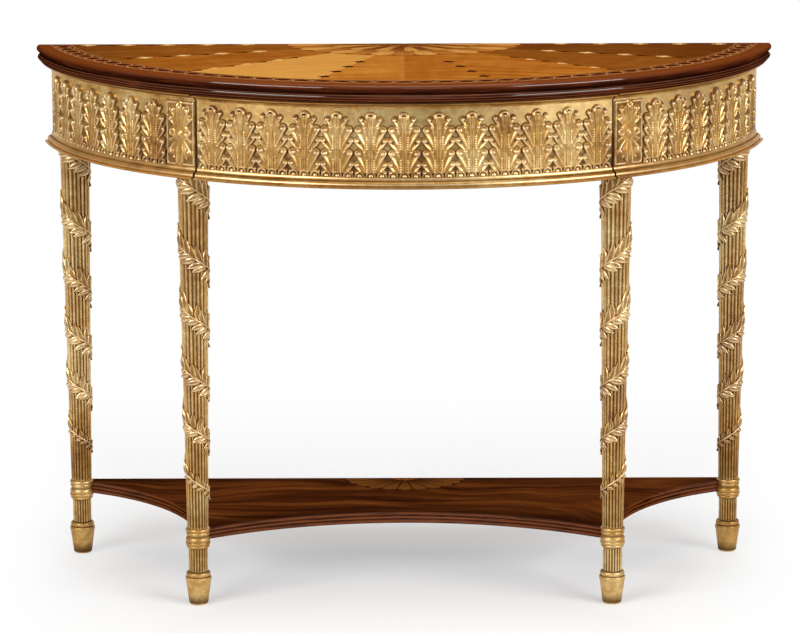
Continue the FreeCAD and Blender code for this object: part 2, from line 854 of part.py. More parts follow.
# Legs: turned foot, fluted neck, collar that holds the shelf, fluted tapering shaft and a tenon
def leg_profile():
    toe = size("foot_toe_height")
    ring_foot = size("foot_body_height")
    ring_top = ring_foot + size("foot_ring_height")
    bead_foot = ring_top + size("foot_fillet_height")
    bead_top = bead_foot + size("foot_bead_height")
    collar = size("collar_height")
    band_foot = collar + size("collar_bead_height")
    torus_top = waist_top + size("collar_torus_height")
    return [
        (0, 0),
        (size("foot_base_radius"), 0, size("foot_toe_round"), 1),
        (size("foot_toe_radius"), toe),
        (size("foot_body_radius"), ring_foot, size("foot_ring_round"), 1),
        (size("foot_body_radius"), ring_top),
        (size("foot_fillet_radius"), ring_top),
        (size("foot_fillet_radius"), bead_foot, size("foot_bead_round"), 1),
        (size("foot_fillet_radius"), bead_top),
        (size("neck_radius"), bead_top),
        (size("neck_radius"), collar),
        (size("collar_radius"), collar, size("collar_bead_round"), 1),
        (size("collar_radius"), band_foot),
        (size("collar_band_radius"), band_foot, size("collar_band_round"), 1),
        (size("collar_band_radius"), shelf_foot, size("collar_swell_round"), 1),
        (size("collar_waist_radius"), waist_foot),
        (size("collar_waist_radius"), waist_top),
        (size("collar_radius"), waist_top, size("collar_torus_round"), 1),
        (size("collar_radius"), torus_top),
        (size("collar_cap_radius"), torus_top, size("collar_cap_round"), 1),
        (size("collar_cap_radius"), shaft_foot),
        (size("leg_foot_radius"), shaft_foot),
        (size("leg_top_radius"), frame_foot),
        (size("tenon_radius"), frame_foot),
        (size("tenon_radius"), frame_foot + size("tenon_length")),
        (0, frame_foot + size("tenon_length")),
    ]


def flute_ring(body, name, foot, top, foot_surface, top_surface, foot_radius, top_radius):
    """Flutes cut round a tapering stretch, each a loft between two circles."""
    circles = []
    for end, level, surface, radius in (("foot", foot, foot_surface, foot_radius),
                                        ("top", top, top_surface, top_radius)):
        sketch = new_sketch(body, f"{name}_{end}", "XY_Plane")
        sketch.setExpression("AttachmentOffset.Base.z", level.text)
        middle = surface + radius - size("flute_depth")
        sketch.addGeometry(Part.Circle(Vector(middle.value, 0, 0), Vector(0, 0, 1), radius.value), False)
        sketch.addConstraint([Sketcher.Constraint("Radius", 0, radius.value),
                              Sketcher.Constraint("DistanceX", -1, 1, 0, 3, middle.value),
                              Sketcher.Constraint("PointOnObject", 0, 3, -1)])
        sketch.setExpression("Constraints[0]", radius.text)
        sketch.setExpression("Constraints[1]", middle.text)
        circles.append(sketch)
    flute = body.newObject("PartDesign::SubtractiveLoft", f"{name}_flute")
    flute.Profile = circles[0]
    flute.Sections = [circles[1]]
    doc.recompute()
    flutes = body.newObject("PartDesign::PolarPattern", f"{name}_flutes")
    flutes.Originals = [flute]
    flutes.Axis = (origin_plane(body, "Z_Axis"), [""])
    flutes.Angle = full_turn
    bind(flutes, Occurrences=size("flute_count"))
    body.Tip = flutes


def make_leg(label, x, y, angle, hand):
    body = turned(f"{label}_turning", leg_profile())
    doc.recompute()
    gap = size("flute_end_gap")
    slope = (size("leg_top_radius") - size("leg_foot_radius")) / (frame_foot - shaft_foot)
    flute_ring(body, f"{label}_shaft", shaft_foot + gap, frame_foot - gap, size("leg_foot_radius") + slope * gap,
               size("leg_top_radius") - slope * gap, size("flute_foot_radius"), size("flute_top_radius"))
    neck_foot = (size("foot_body_height") + size("foot_ring_height") + size("foot_fillet_height")
                 + size("foot_bead_height"))
    flute_ring(body, f"{label}_neck", neck_foot + gap, size("collar_height") - gap, size("neck_radius"),
               size("neck_radius"), size("neck_flute_radius"), size("neck_flute_radius"))
    place(body, x, y, turn=full_turn + angle * hand)
    housed = cut(f"{label}_housed", body, shelf_blank)
    keep(cut(label, housed, shelf_dowels))


for leg_side, leg_hand in sides:
    make_leg(f"front_{leg_side}_leg", front_leg_x * leg_hand, front_leg_y, size("front_leg_angle"), leg_hand)
    make_leg(f"rear_{leg_side}_leg", rear_leg_x * leg_hand, rear_leg_y, rear_leg_angle, leg_hand)

doc.recompute()

# Every object is sound before anything is written
for obj in doc.Objects:
    if "Invalid" in obj.State or "Error" in obj.State:
        raise RuntimeError(f"{obj.Label} failed: {obj.State}")
for part in parts:
    if part.Shape.isNull() or not part.Shape.isValid() or not part.Shape.Solids:
        raise RuntimeError(f"{part.Label} has no sound shape")

os.makedirs("parts", exist_ok=True)
for part in parts:
    part.Shape.exportStep(f"parts/{part.Label}.step")
    box_of_part = part.Shape.BoundBox
    print(part.Label, len(part.Shape.Solids), "solids", round(part.Shape.Volume / 1000), "cm3", box_of_part)
print(len(parts), "nodes")
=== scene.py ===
import bpy
import math
import numpy as np
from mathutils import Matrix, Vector


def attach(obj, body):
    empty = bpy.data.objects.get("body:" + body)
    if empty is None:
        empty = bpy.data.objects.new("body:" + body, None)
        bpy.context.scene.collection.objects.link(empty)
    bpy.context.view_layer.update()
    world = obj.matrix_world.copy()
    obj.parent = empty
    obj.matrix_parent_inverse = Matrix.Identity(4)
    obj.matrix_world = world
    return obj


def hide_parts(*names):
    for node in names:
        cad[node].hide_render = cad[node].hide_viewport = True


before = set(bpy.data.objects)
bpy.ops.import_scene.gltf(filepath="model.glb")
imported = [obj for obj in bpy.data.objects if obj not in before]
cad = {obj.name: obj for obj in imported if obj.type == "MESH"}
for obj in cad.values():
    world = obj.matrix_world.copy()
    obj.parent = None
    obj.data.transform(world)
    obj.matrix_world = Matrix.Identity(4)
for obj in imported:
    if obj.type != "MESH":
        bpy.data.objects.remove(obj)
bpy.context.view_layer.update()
mm = 0.001
print("frame loaded:", len(cad), "nodes")

# lines that the pieces share, in metres; every curved member turns about one centre behind the wall
table = {
    "centreY": 0.386,
    "backY": 0.261,
    "friezeRadius": 0.6225,
    "friezeFoot": 0.7495,
    "topHeight": 0.900,
    "fieldRadius": 0.588,
    "bandRadius": 0.623,
    "shelfTop": 0.128,
    "shelfBackY": 0.255,
}
rng = np.random.default_rng(7)  # the carver's small unevenness


# hand tools

def freshStart():
    if bpy.context.object and bpy.context.object.mode != "OBJECT":
        bpy.ops.object.mode_set(mode="OBJECT")
    bpy.ops.object.select_all(action="DESELECT")


def holdOnly(obj):
    freshStart()
    obj.select_set(True)
    bpy.context.view_layer.objects.active = obj


def pick(obj, kind, test):
    # select vertices, edges or faces by their place, then go on in edit mode
    bpy.ops.object.mode_set(mode="OBJECT")
    mesh = obj.data
    for group in (mesh.vertices, mesh.edges, mesh.polygons):
        group.foreach_set("select", [False] * len(group))
    chosen = {"VERT": mesh.vertices, "EDGE": mesh.edges, "FACE": mesh.polygons}[kind]
    for item in chosen:
        item.select = bool(test(item))
    bpy.ops.object.mode_set(mode="EDIT")
    bpy.ops.mesh.select_mode(type=kind)


def editAll():
    bpy.ops.object.mode_set(mode="EDIT")
    bpy.ops.mesh.select_mode(type="VERT")
    bpy.ops.mesh.select_all(action="SELECT")


def drawOut(rise, grow=1.0, middle=(0, 0, 0)):
    # extrude what is selected, then widen or narrow it about a middle
    bpy.ops.mesh.extrude_region_move(TRANSFORM_OT_translate={"value": (0, 0, rise)})
    if grow != 1.0:
        bpy.ops.transform.resize(value=(grow, grow, 1), center_override=middle)


def turned(name, rings, steps, fill):
    # a turned form: a circle at the first ring, drawn out to each of the others
    freshStart()
    bpy.ops.mesh.primitive_circle_add(vertices=steps, radius=rings[0][0] * mm, fill_type=fill,
                                      location=(0, 0, rings[0][1] * mm))
    form = bpy.context.object
    form.name = name
    editAll()
    for ring, last in zip(rings[1:], rings):
        drawOut((ring[1] - last[1]) * mm, ring[0] / last[0], (0, 0, ring[1] * mm))
    return form


def traced(name, path, settings, sizes=None, closed=False):
    # a curve drawn through places and made a mesh
    line = bpy.data.curves.new(name, "CURVE")
    for key, value in settings.items():
        setattr(line, key, value)
    spline = line.splines.new("POLY")
    spline.points.add(len(path) - 1)
    for number, point in enumerate(spline.points):
        point.co = (*path[number], 1)
        if sizes is not None:
            point.radius = sizes[number]
    spline.use_cyclic_u = closed
    obj = bpy.data.objects.new(name, line)
    bpy.context.scene.collection.objects.link(obj)
    holdOnly(obj)
    bpy.ops.object.convert(target="MESH")
    return bpy.context.object


def tidyMesh(obj):
    holdOnly(obj)
    editAll()
    bpy.ops.mesh.remove_doubles(threshold=0.00001)
    bpy.ops.mesh.normals_make_consistent(inside=False)
    bpy.ops.object.mode_set(mode="OBJECT")


def readPoints(obj):
    points = np.empty(len(obj.data.vertices) * 3)
    obj.data.vertices.foreach_get("co", points)
    return points.reshape(-1, 3)


def writePoints(obj, points):
    obj.data.vertices.foreach_set("co", np.asarray(points, float).ravel())
    obj.data.update()


def copyPiece(obj, name):
    twin = obj.copy()
    twin.data = obj.data.copy()
    twin.name = name
    twin.data.name = name
    bpy.context.scene.collection.objects.link(twin)
    return twin


def joinPieces(pieces, name):
    freshStart()
    for piece in pieces:
        piece.select_set(True)
    bpy.context.view_layer.objects.active = pieces[0]
    bpy.ops.object.join()
    pieces[0].name = name
    return pieces[0]


def finishPiece(obj, finish, body="carcase", replaced=(), angle=40):
    holdOnly(obj)
    bpy.ops.object.transform_apply(location=True, rotation=True, scale=True)
    bpy.ops.object.shade_smooth_by_angle(angle=math.radians(angle))
    if finish is not None:
        obj.data.materials.clear()
        obj.data.materials.append(finish)
    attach(obj, body)
    if replaced:
        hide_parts(*replaced)
    obj.select_set(False)
    return obj


def setValues(obj, name, values):
    # a number for each point, which a finish reads by name
    layer = obj.data.attributes.get(name) or obj.data.attributes.new(name, "FLOAT", "POINT")
    layer.data.foreach_set("value", np.asarray(values, float))


def wrapOnFrieze(points, angle, foot, radius):
    # x along the frieze, y up it, z out of it; angle in radians from the front, plus to the right
    turn = angle + points[:, 0] / radius
    reach = radius + points[:, 2]
    return np.c_[reach * np.sin(turn), table["centreY"] - reach * np.cos(turn), foot + points[:, 1]]


def softStep(low, high, value):
    share = np.clip((value - low) / (high - low), 0, 1)
    return share * share * (3 - 2 * share)


def dome(share, power=2):
    return np.sqrt(np.clip(1 - share ** power, 0, 1))


# finishes

class Wire:
    # one socket in a finish; sums on it add Math nodes
    def __init__(self, tree, socket=None):
        self.tree = tree
        self.socket = socket

    def node(self, kind, settings, inputs, out=0):
        made = self.tree.nodes.new(kind)
        for key, value in settings.items():
            if key == "stops":
                stops = made.color_ramp.elements
                while len(stops) < len(value):
                    stops.new(1)
                for stop, (place, colour) in zip(stops, value):
                    stop.position = place
                    stop.color = colour
            else:
                setattr(made, key, value)
        for key, value in inputs.items():
            if isinstance(value, Wire):
                self.tree.links.new(value.socket, made.inputs[key])
            else:
                made.inputs[key].default_value = value
        return Wire(self.tree, made.outputs[out])

    def math(self, operation, *values):
        return self.node("ShaderNodeMath", {"operation": operation}, dict(enumerate(values)))

    def __add__(self, other):
        return self.math("ADD", self, other)

    def __radd__(self, other):
        return self.math("ADD", other, self)

    def __sub__(self, other):
        return self.math("SUBTRACT", self, other)

    def __rsub__(self, other):
        return self.math("SUBTRACT", other, self)

    def __mul__(self, other):
        return self.math("MULTIPLY", self, other)

    def __rmul__(self, other):
        return self.math("MULTIPLY", other, self)

    def __truediv__(self, other):
        return self.math("DIVIDE", self, other)

    def __gt__(self, other):
        return self.math("GREATER_THAN", self, other)

    def __lt__(self, other):
        return self.math("LESS_THAN", self, other)

    def __abs__(self):
        return self.math("ABSOLUTE", self)


def shade(red, green, blue):
    # a colour as it is read off a screen, 0 to 255
    out = []
    for part in (red, green, blue):
        part = part / 255
        out.append(part / 12.92 if part <= 0.04045 else ((part + 0.055) / 1.055) ** 2.4)
    return (*out, 1)


def newFinish(name):
    finish = bpy.data.materials.new(name)
    finish.use_nodes = True
    shader = finish.node_tree.nodes["Principled BSDF"]
    place = Wire(finish.node_tree).node("ShaderNodeTexCoord", {}, {}, "Object")
    return finish, shader, place


def feed(shader, **sockets):
    for key, value in sockets.items():
        target = shader.inputs[key.replace("_", " ")]
        if isinstance(value, Wire):
            value.tree.links.new(value.socket, target)
        else:
            target.default_value = value


def split(place):
    return [place.node("ShaderNodeSeparateXYZ", {}, {0: place}, axis) for axis in range(3)]


def spot(x, y, z):
    wire = next(item for item in (x, y, z) if isinstance(item, Wire))
    return wire.node("ShaderNodeCombineXYZ", {}, {0: x, 1: y, 2: z})


def cloud(place, scale, detail=3.0, rough=0.55, twist=0.0):
    return place.node("ShaderNodeTexNoise", {}, {"Vector": place, "Scale": scale, "Detail": detail,
                                                 "Roughness": rough, "Distortion": twist})


def fade(value, low, high, start=0.0, end=1.0):
    return value.node("ShaderNodeMapRange", {"interpolation_type": "SMOOTHSTEP"},
                      {0: value, 1: low, 2: high, 3: start, 4: end})


def blend(share, first, second):
    wire = next(item for item in (share, first, second) if isinstance(item, Wire))
    return wire.node("ShaderNodeMix", {"data_type": "RGBA"}, {0: share, 6: first, 7: second}, 2)


def ramp(value, *stops):
    return value.node("ShaderNodeValToRGB", {"stops": stops}, {0: value})


def relief(height, strength, distance):
    return height.node("ShaderNodeBump", {}, {"Strength": strength, "Distance": distance, "Height": height})


def noted(place, name):
    return place.node("ShaderNodeAttribute", {"attribute_name": name}, {}, "Fac")


def most(first, second):
    return first.math("MAXIMUM", first, second)


def span(x, y):
    square = x * x + y * y
    return square.math("POWER", square, 0.5)


def waxed(shader, colour, rough, gloss, glossRough, normal):
    # polished wood, whose gloss lies in the wax alone
    feed(shader, Base_Color=colour, Roughness=rough, Specular_IOR_Level=0.0, Coat_Weight=gloss,
         Coat_Roughness=glossRough, Normal=normal)


# near-black painted shadow for the faces inside the gaps at the drawer's ends
seamShadowColour = (0.004, 0.002, 0.001, 1)
giltSet = {
    "light": shade(250, 220, 156),
    "mid": shade(206, 159, 86),
    "deep": shade(150, 96, 35),
    # pale colour painted on the crests as a highlight
    "wearAndHighlight": shade(250, 234, 202),
    "ochre": shade(164, 108, 42),
    "warm": shade(244, 178, 90),
    "edge": (0.82, 0.62, 0.38, 1),    # tint at a glancing angle
    "bole": shade(124, 58, 22),
    "shadow": shade(46, 20, 6),
    "metallic": 0.9,
    "rough": 0.24,
    "varnish": 0.45,      # a thin coat that gives the pale glints
}
seamSet = {
    "angle": 32.85,       # degrees from the front, in the gap between the drawer and the fixed apron
    "half": 0.17,
}


def seamShade(place):
    # 1 in the open joint at each end of the drawer, where the faces inside the gap are painted near-black as
    # shadow
    x, y, z = split(place)
    turn = abs(x.math("ARCTAN2", x, table["centreY"] - y))
    return abs(turn - math.radians(seamSet["angle"])) < math.radians(seamSet["half"])


def giltColours(place, cavity, ochre=0.0, warm=0.0):
    # colour, metal share and roughness of old water gilding
    # cavity is 1 in the cuts, where shade is painted, and -1 on the crests, where a pale highlight is painted
    opts = giltSet
    crest = fade(cavity, 0.0, -0.7)
    cavity = most(cavity, 0.0)
    patches = cloud(place, 7, 4, 0.6)
    grainy = cloud(place, 95, 4, 0.65)
    fine = cloud(place, 420, 2)
    # patches where the gold is worn through to the bole
    wearAndHighlight = fade(cloud(place, 38, 5, 0.7), 0.58, 0.74)
    tone = patches * 0.62 + grainy * 0.38
    gold = ramp(tone, (0.34, opts["deep"]), (0.5, opts["mid"]), (0.66, opts["light"]))
    gold = blend(wearAndHighlight * 0.55, gold, opts["bole"])
    gold = blend(ochre, gold, opts["ochre"])
    gold = blend(warm, gold, opts["warm"])
    # painted highlight on the crests, painted shade in the cuts
    gold = blend(crest * 0.5, gold, opts["wearAndHighlight"])
    gold = blend(cavity * (0.84 + 0.16 * grainy), gold, opts["shadow"])
    # painted shadow inside the seam gaps
    seam = seamShade(place)
    gold = blend(seam, gold, seamShadowColour)
    metal = (opts["metallic"] - 0.25 * wearAndHighlight - 0.55 * cavity - 0.1 * crest) * (1 - seam)
    rough = opts["rough"] + 0.16 * grainy + 0.10 * fine + 0.28 * cavity + 0.04 * crest + 0.4 * seam
    height = grainy * 0.6 + fine * 0.4
    return gold, metal, rough, height


def gild(shader, gold, metal, rough, normal, coat, coatRough):
    feed(shader, Base_Color=gold, Metallic=metal, Roughness=rough, Normal=normal, Coat_Weight=coat,
         Coat_Roughness=coatRough, Specular_Tint=giltSet["edge"])


def makeGilt(name):
    finish, shader, place = newFinish(name)
    cavity = noted(place, "cavity")
    gold, metal, rough, height = giltColours(place, cavity)
    gild(shader, gold, metal, rough, relief(height, 0.4, 0.0007),
         fade(cavity, 0.0, 0.8, giltSet["varnish"], 0.0), 0.2)
    return finish


mouldingSet = {
    # heights of the painted shade lines, half the width of each line and its strength
    "shadeLines": ((0.7340, 0.0012, 0.4), (0.7426, 0.0017, 0.85), (0.7495, 0.0022, 0.3),
                  (0.8650, 0.0034, 0.85)),
    "highlightLines": ((0.7372, 0.0022, 0.45), (0.7463, 0.0014, 0.5)),      # and of the painted highlight lines
    # the foot is painted darker towards the bottom
    "foot": (0.731, 0.7365),
    "baseTop": (0.748, 0.752),
    "coveFoot": (0.864, 0.866),
    # the mouldings are darker towards the left end
    "leftDarker": (-0.35, -0.6),
    "leftWarm": (-0.28, -0.42),       # the base warms in tone towards its ends
    "rightWarm": (0.34, 0.5),
}


def makeGiltMoulding(name):
    # run mouldings, with shade painted along their quirks and hollows and highlights painted on their crests
    opts = mouldingSet
    finish, shader, place = newFinish(name)
    x, y, z = split(place)
    shadeAndGlint = fade(z, *opts["foot"], 0.55, 0.0)
    shadeAndGlint = most(shadeAndGlint, fade(x, *opts["leftDarker"], 0.0, 0.1))
    for level, half, strength in opts["shadeLines"]:
        shadeAndGlint = most(shadeAndGlint, fade(abs(z - level), 0, half, strength, 0))
    for level, half, strength in opts["highlightLines"]:
        shadeAndGlint = shadeAndGlint - fade(abs(z - level), 0, half, strength, 0)
    # the cove is painted a darker ochre as shade in its hollow; the base takes a little ochre tone
    cove = fade(z, *opts["coveFoot"], 0.0, 0.75)
    base = fade(z, *opts["baseTop"], 1.0, 0.0)
    ends = fade(x, *opts["leftWarm"]) + fade(x, *opts["rightWarm"])
    uneven = fade(cloud(place, 30, 4, 0.6), 0.35, 0.6, 0.35, 0.85)
    gold, metal, rough, height = giltColours(place, shadeAndGlint, most(cove, base * 0.3), base * ends * uneven)
    gild(shader, gold, metal, rough, relief(height, 0.16, 0.0006),
         fade(shadeAndGlint, 0.0, 0.8, giltSet["varnish"], 0.0), 0.2)
    return finish


woodSet = {
    "light": shade(196, 160, 112),
    "mid": shade(168, 126, 80),
    "dark": shade(124, 86, 50),
}


def plainWood(place, alongAxis, opts):
    # straight grain of an unpolished board, running along one axis
    x, y, z = split(place)
    lengthways = [axis * (6 if number == alongAxis else 90) for number, axis in enumerate((x, y, z))]
    lines = cloud(spot(*lengthways), 1.6, 5, 0.6, 0.4)
    pores = cloud(spot(*[axis * 6 for axis in lengthways]), 1.2, 2)
    tone = lines * 0.75 + pores * 0.25
    colour = ramp(tone, (0.32, opts["dark"]), (0.5, opts["mid"]), (0.68, opts["light"]))
    return colour, tone


def makeWood(name, alongAxis, opts, rough):
    finish, shader, place = newFinish(name)
    colour, tone = plainWood(place, alongAxis, opts)
    # the upright posts take the seam's painted shadow too
    colour = blend(seamShade(place) * (alongAxis == 2), colour, seamShadowColour)
    feed(shader, Base_Color=colour, Roughness=rough + 0.2 * tone, Normal=relief(tone, 0.25, 0.0008))
    return finish


railSet = {
    "leafFeet": (0.768, 0.80),        # painted shade on the ground between the leaf feet
    "lighter": (0.79, 0.82),
    "lightSide": (-0.5, 0.2),
    "skin": 0.0016,                   # depth of the gilded face
}


def makeGiltRail(name):
    # curved rail: gilded on its face, bare wood inside
    opts = railSet
    finish, shader, place = newFinish(name)
    x, y, z = split(place)
    # painted shade low on the ground, between the leaf feet
    low = fade(z, *opts["leafFeet"], 0.9, 0.0)
    gold, metal, rough, height = giltColours(place, low)
    lit = fade(z, *opts["lighter"]) * fade(x, *opts["lightSide"], 0.05, 0.45)
    gold = blend(lit, gold, giltSet["light"])
    wood, tone = plainWood(place, 0, woodSet)
    reach = x * x + (y - table["centreY"]) * (y - table["centreY"])
    outer = reach > (table["friezeRadius"] - opts["skin"]) ** 2
    normal = relief(height * outer + tone * (1 - outer), 0.16, 0.0006)
    rough = rough * outer + (1 - outer) * 0.7
    gild(shader, blend(outer, wood, gold), metal * outer, rough, normal, outer * 0.3, 0.3)
    return finish


def polish(place):
    # share of the gloss that old wax keeps; it falls away at a glancing angle
    facing = place.node("ShaderNodeLayerWeight", {}, {"Blend": 0.5}, "Facing")
    return fade(facing, 0.2, 0.5, 1.0, 0.0)


mahoganySet = {
    "dark": shade(30, 10, 4),
    "mid": shade(56, 22, 10),
    "light": shade(98, 44, 18),
    "flat": shade(130, 65, 24),
    # painted highlight colour for the crests of the reeds
    "glintAndWear": shade(132, 78, 50),
    "reed": 0.0042,
    "reedsBelow": (0.8865, 0.8845),
    "lighter": (0.8915, 0.8985),      # the upper bead is painted lighter towards the flat, as light on its upper face
}


def makeMahoganyEdge(name):
    # moulded edge, its grain running round the curve
    opts = mahoganySet
    finish, shader, place = newFinish(name)
    x, y, z = split(place)
    y = y - table["centreY"]
    turn = x.math("ARCTAN2", x, y * -1)
    reach = span(x, y)
    grainPlace = spot(turn * 3.2, reach * 70, z * 70)
    lines = cloud(grainPlace, 1.5, 5, 0.62, 0.5)
    fine = cloud(spot(turn * 22, reach * 500, z * 500), 1, 2)
    tone = lines * 0.8 + fine * 0.2
    colour = ramp(tone, (0.36, opts["dark"]), (0.52, opts["mid"]), (0.7, opts["light"]))
    flat = fade(z, table["topHeight"] - 0.0012, table["topHeight"] - 0.0004)
    colour = blend(fade(z, *opts["lighter"], 0.0, 0.55) + flat * 0.3, colour, opts["flat"])
    reeds = z.math("SINE", z * (2 * math.pi / opts["reed"])) * fade(z, *opts["reedsBelow"])
    colour = blend(fade(reeds, 0.3, 0.95, 0.0, 0.6), colour, opts["glintAndWear"])      # painted highlight on the crests of the reeds
    upward = split(place.node("ShaderNodeTexCoord", {}, {}, "Normal"))[2]
    gloss = fade(upward, -0.1, 0.25) * (1 - flat) * polish(place)
    waxed(shader, colour, 0.3 + 0.14 * fine, 0.7 * gloss, 0.07, relief(reeds + lines * 0.1, 0.8, 0.0012))
    return finish


shelfSet = {
    "dark": shade(42, 17, 7),
    "mid": shade(90, 45, 17),
    "light": shade(126, 71, 28),
    "edge": shade(86, 42, 16),
    # painted highlight colour for the reeds of the edge
    "glintAndWear": shade(150, 88, 46),
    "thickness": 0.019,
    "reeds": 3,
    "frontCentreY": -0.567,
    "frontRadius": 0.589,
    "frontShade": 0.07,
}


def makeShelfFinish(name):
    # flame figure on the top, plainer mahogany on the moulded edge
    opts = shelfSet
    finish, shader, place = newFinish(name)
    x, y, z = split(place)
    sway = cloud(spot(x * 2.2, y * 3.4, z), 1, 2) - 0.5
    flame = cloud(spot(x * 3.4 + y * 1.6 * sway, y * 26 + x * 3 + sway * 9, z * 30), 1, 5, 0.6, 0.8)
    fine = cloud(spot(x * 40, y * 420, z * 400), 1, 2)
    tone = flame * 0.84 + fine * 0.16
    colour = ramp(tone, (0.36, opts["dark"]), (0.52, opts["mid"]), (0.70, opts["light"]))
    edgeTone = cloud(spot(x * 18, y * 18, z * 260), 1, 4)
    edge = ramp(edgeTone, (0.35, mahoganySet["dark"]), (0.5, opts["edge"]), (0.7, mahoganySet["light"]))
    wave = z.math("COSINE", (table["shelfTop"] - z) * (2 * math.pi * opts["reeds"] / opts["thickness"]))
    edge = blend(fade(wave, 0.3, 0.95, 0.0, 0.6), edge, opts["dark"])      # painted shade in the grooves
    edge = blend(fade(wave, -0.3, -0.95, 0.0, 0.25), edge, opts["glintAndWear"])      # painted highlight on the reeds
    inset = span(x, y - opts["frontCentreY"]) - opts["frontRadius"]
    colour = blend(fade(inset, 0.0, opts["frontShade"], 0.7, 0.0), colour, opts["dark"])
    top = z > table["shelfTop"] - 0.0006
    gloss = (0.25 + 0.45 * top) * polish(place)
    waxed(shader, blend(top, edge, colour), 0.3 + 0.12 * fine, gloss, 0.12, relief(flame, 0.04, 0.0005))
    return finish


satinSet = {
    "dark": shade(146, 78, 19),
    "mid": shade(182, 106, 32),
    "light": shade(212, 145, 60),
    "deep": shade(86, 38, 9),
    "pale": shade(234, 176, 88),
    "corners": (0.36, 0.60),          # the top is painted darker there, as shade towards its ends
}


def makeSatinwood(name):
    # veneer whose grain and tone each cut piece carries with it
    opts = satinSet
    finish, shader, place = newFinish(name)
    grain = noted(place, "grain")
    tone = noted(place, "tone")
    x, y, z = split(place)
    along = x * grain.math("COSINE", grain) + y * grain.math("SINE", grain)
    over = y * grain.math("COSINE", grain) - x * grain.math("SINE", grain)
    sway = cloud(spot(along * 3, over * 9, tone * 7), 1, 2) - 0.5
    figure = cloud(spot(along * 7, over * 60 + sway * 5, tone * 11), 1, 5, 0.62, 0.3)
    ripple = cloud(spot(along * 34, over * 7, tone * 5), 1, 2)
    fine = cloud(spot(along * 60, over * 900, z), 1, 2)
    depth = figure * 0.62 + ripple * 0.22 + fine * 0.16
    wood = ramp(depth, (0.30, opts["dark"]), (0.5, opts["mid"]), (0.72, opts["light"]))
    wood = blend(fade(tone, 0.5, 1.0, 0.0, 0.62), wood, opts["pale"])
    wood = blend(fade(tone, 0.0, 0.5, 0.75, 0.0), wood, opts["deep"])
    # painted shade towards the left and right ends of the top
    wood = blend(fade(abs(x), *opts["corners"], 0.0, 0.6), wood, opts["deep"])
    waxed(shader, wood, 0.3 + 0.16 * fine, 0.6 * polish(place), 0.15, relief(fine, 0.03, 0.0004))
    return finish


def makeInlay(name, low, high):
    finish, shader, place = newFinish(name)
    x, y, z = split(place)
    lines = cloud(spot(x * 130, y * 70, z), 1, 4)
    fleck = cloud(place, 340, 2)
    colour = ramp(lines * 0.7 + fleck * 0.3, (0.36, low), (0.64, high))
    waxed(shader, colour, 0.3 + 0.14 * fleck, 0.6 * polish(place), 0.15, relief(fleck, 0.03, 0.0003))
    return finish


def makeShadedPetal(name, fan, low, high, scorched, start, end):
    # petal veneer of a fan, scorched towards its root in hot sand
    finish, shader, place = newFinish(name)
    x, y, z = split(place)
    acrossShare = x / fan["halfWidth"]
    outShare = (y - fan["backY"]) / fan["depth"]
    rho = span(acrossShare, outShare)
    turn = x.math("ARCTAN2", acrossShare, outShare)
    lines = cloud(spot(turn * 46, rho * 3, z), 1, 4)
    colour = ramp(lines, (0.34, low), (0.66, high))
    colour = blend(fade(rho, start, end, 0.8, 0.0) * (0.75 + lines * 0.5), colour, scorched)
    waxed(shader, colour, 0.3 + 0.12 * lines, 0.6 * polish(place), 0.15, relief(lines, 0.03, 0.0003))
    return finish


def makeSteel(name):
    finish, shader, place = newFinish(name)
    wear = cloud(place, 260, 3)
    colour = ramp(wear, (0.3, shade(92, 88, 84)), (0.7, shade(150, 147, 142)))
    feed(shader, Base_Color=colour, Metallic=0.9, Roughness=0.3 + 0.3 * wear,
         Normal=relief(wear, 0.1, 0.0002))
    return finish


oakSet = {
    "light": shade(206, 172, 120),
    "mid": shade(182, 143, 92),
    "dark": shade(142, 102, 60),
}
gilt = makeGilt("gilt")
giltMoulding = makeGiltMoulding("giltMoulding")
giltRail = makeGiltRail("giltRail")
mahoganyEdge = makeMahoganyEdge("mahoganyEdge")
shelfFinish = makeShelfFinish("shelfMahogany")
satinwood = makeSatinwood("satinwood")
crossband = makeInlay("crossbandRosewood", shade(88, 38, 13), shade(128, 62, 23))
inlayLight = makeInlay("inlayHolly", shade(214, 164, 96), shade(238, 200, 136))
inlayTan = makeInlay("inlayTan", shade(172, 112, 60), shade(208, 152, 96))
inlayDark = makeInlay("inlayEbonised", shade(48, 20, 8), shade(78, 36, 14))
inlayBrown = makeInlay("inlayWalnut", shade(112, 56, 20), shade(150, 84, 34))
boardX = makeWood("carcaseWoodAcross", 0, woodSet, 0.6)
boardY = makeWood("carcaseWoodDeep", 1, woodSet, 0.6)
boardZ = makeWood("carcaseWoodUpright", 2, woodSet, 0.6)
oakX = makeWood("drawerOakAcross", 0, oakSet, 0.5)
oakY = makeWood("drawerOakDeep", 1, oakSet, 0.5)
steel = makeSteel("screwSteel")
print("finishes made")

# CAD nodes that keep their own shape
nodeFinish = {
    mahoganyEdge: ["top_lipping"],
    shelfFinish: ["shelf_board"],
    steel: ["top_screws"],
    giltRail: ["drawer_front"],
    giltMoulding: ["drawer_cove", "drawer_base_moulding"],
    oakX: ["drawer_bottom", "drawer_back"],
    oakY: ["drawer_left_side", "drawer_right_side"],
    boardX: ["top_board", "shelf_dowels", "lower_rail", "upper_rail", "back_rail"],
    boardY: ["drawer_stops"],
    boardZ: [],
}
for side in ("left", "right"):
    nodeFinish[giltRail] += [f"{side}_apron_rail"]
    nodeFinish[giltMoulding] += [f"{side}_cove", f"{side}_base_moulding"]
    nodeFinish[boardX] += [f"{side}_glue_blocks"]
    nodeFinish[boardY] += [f"{side}_runner", f"{side}_kicker", f"{side}_guide"]
    nodeFinish[boardZ] += [f"front_{side}_post", f"rear_{side}_post"]
for finish, names in nodeFinish.items():
    for name in names:
        slots = cad[name].data.materials
        slots.clear()
        slots.append(finish)
print("CAD nodes painted:", sum(len(names) for names in nodeFinish.values()))


# carving: a sheet of points raised by ridges, as a carver leaves them with a gouge

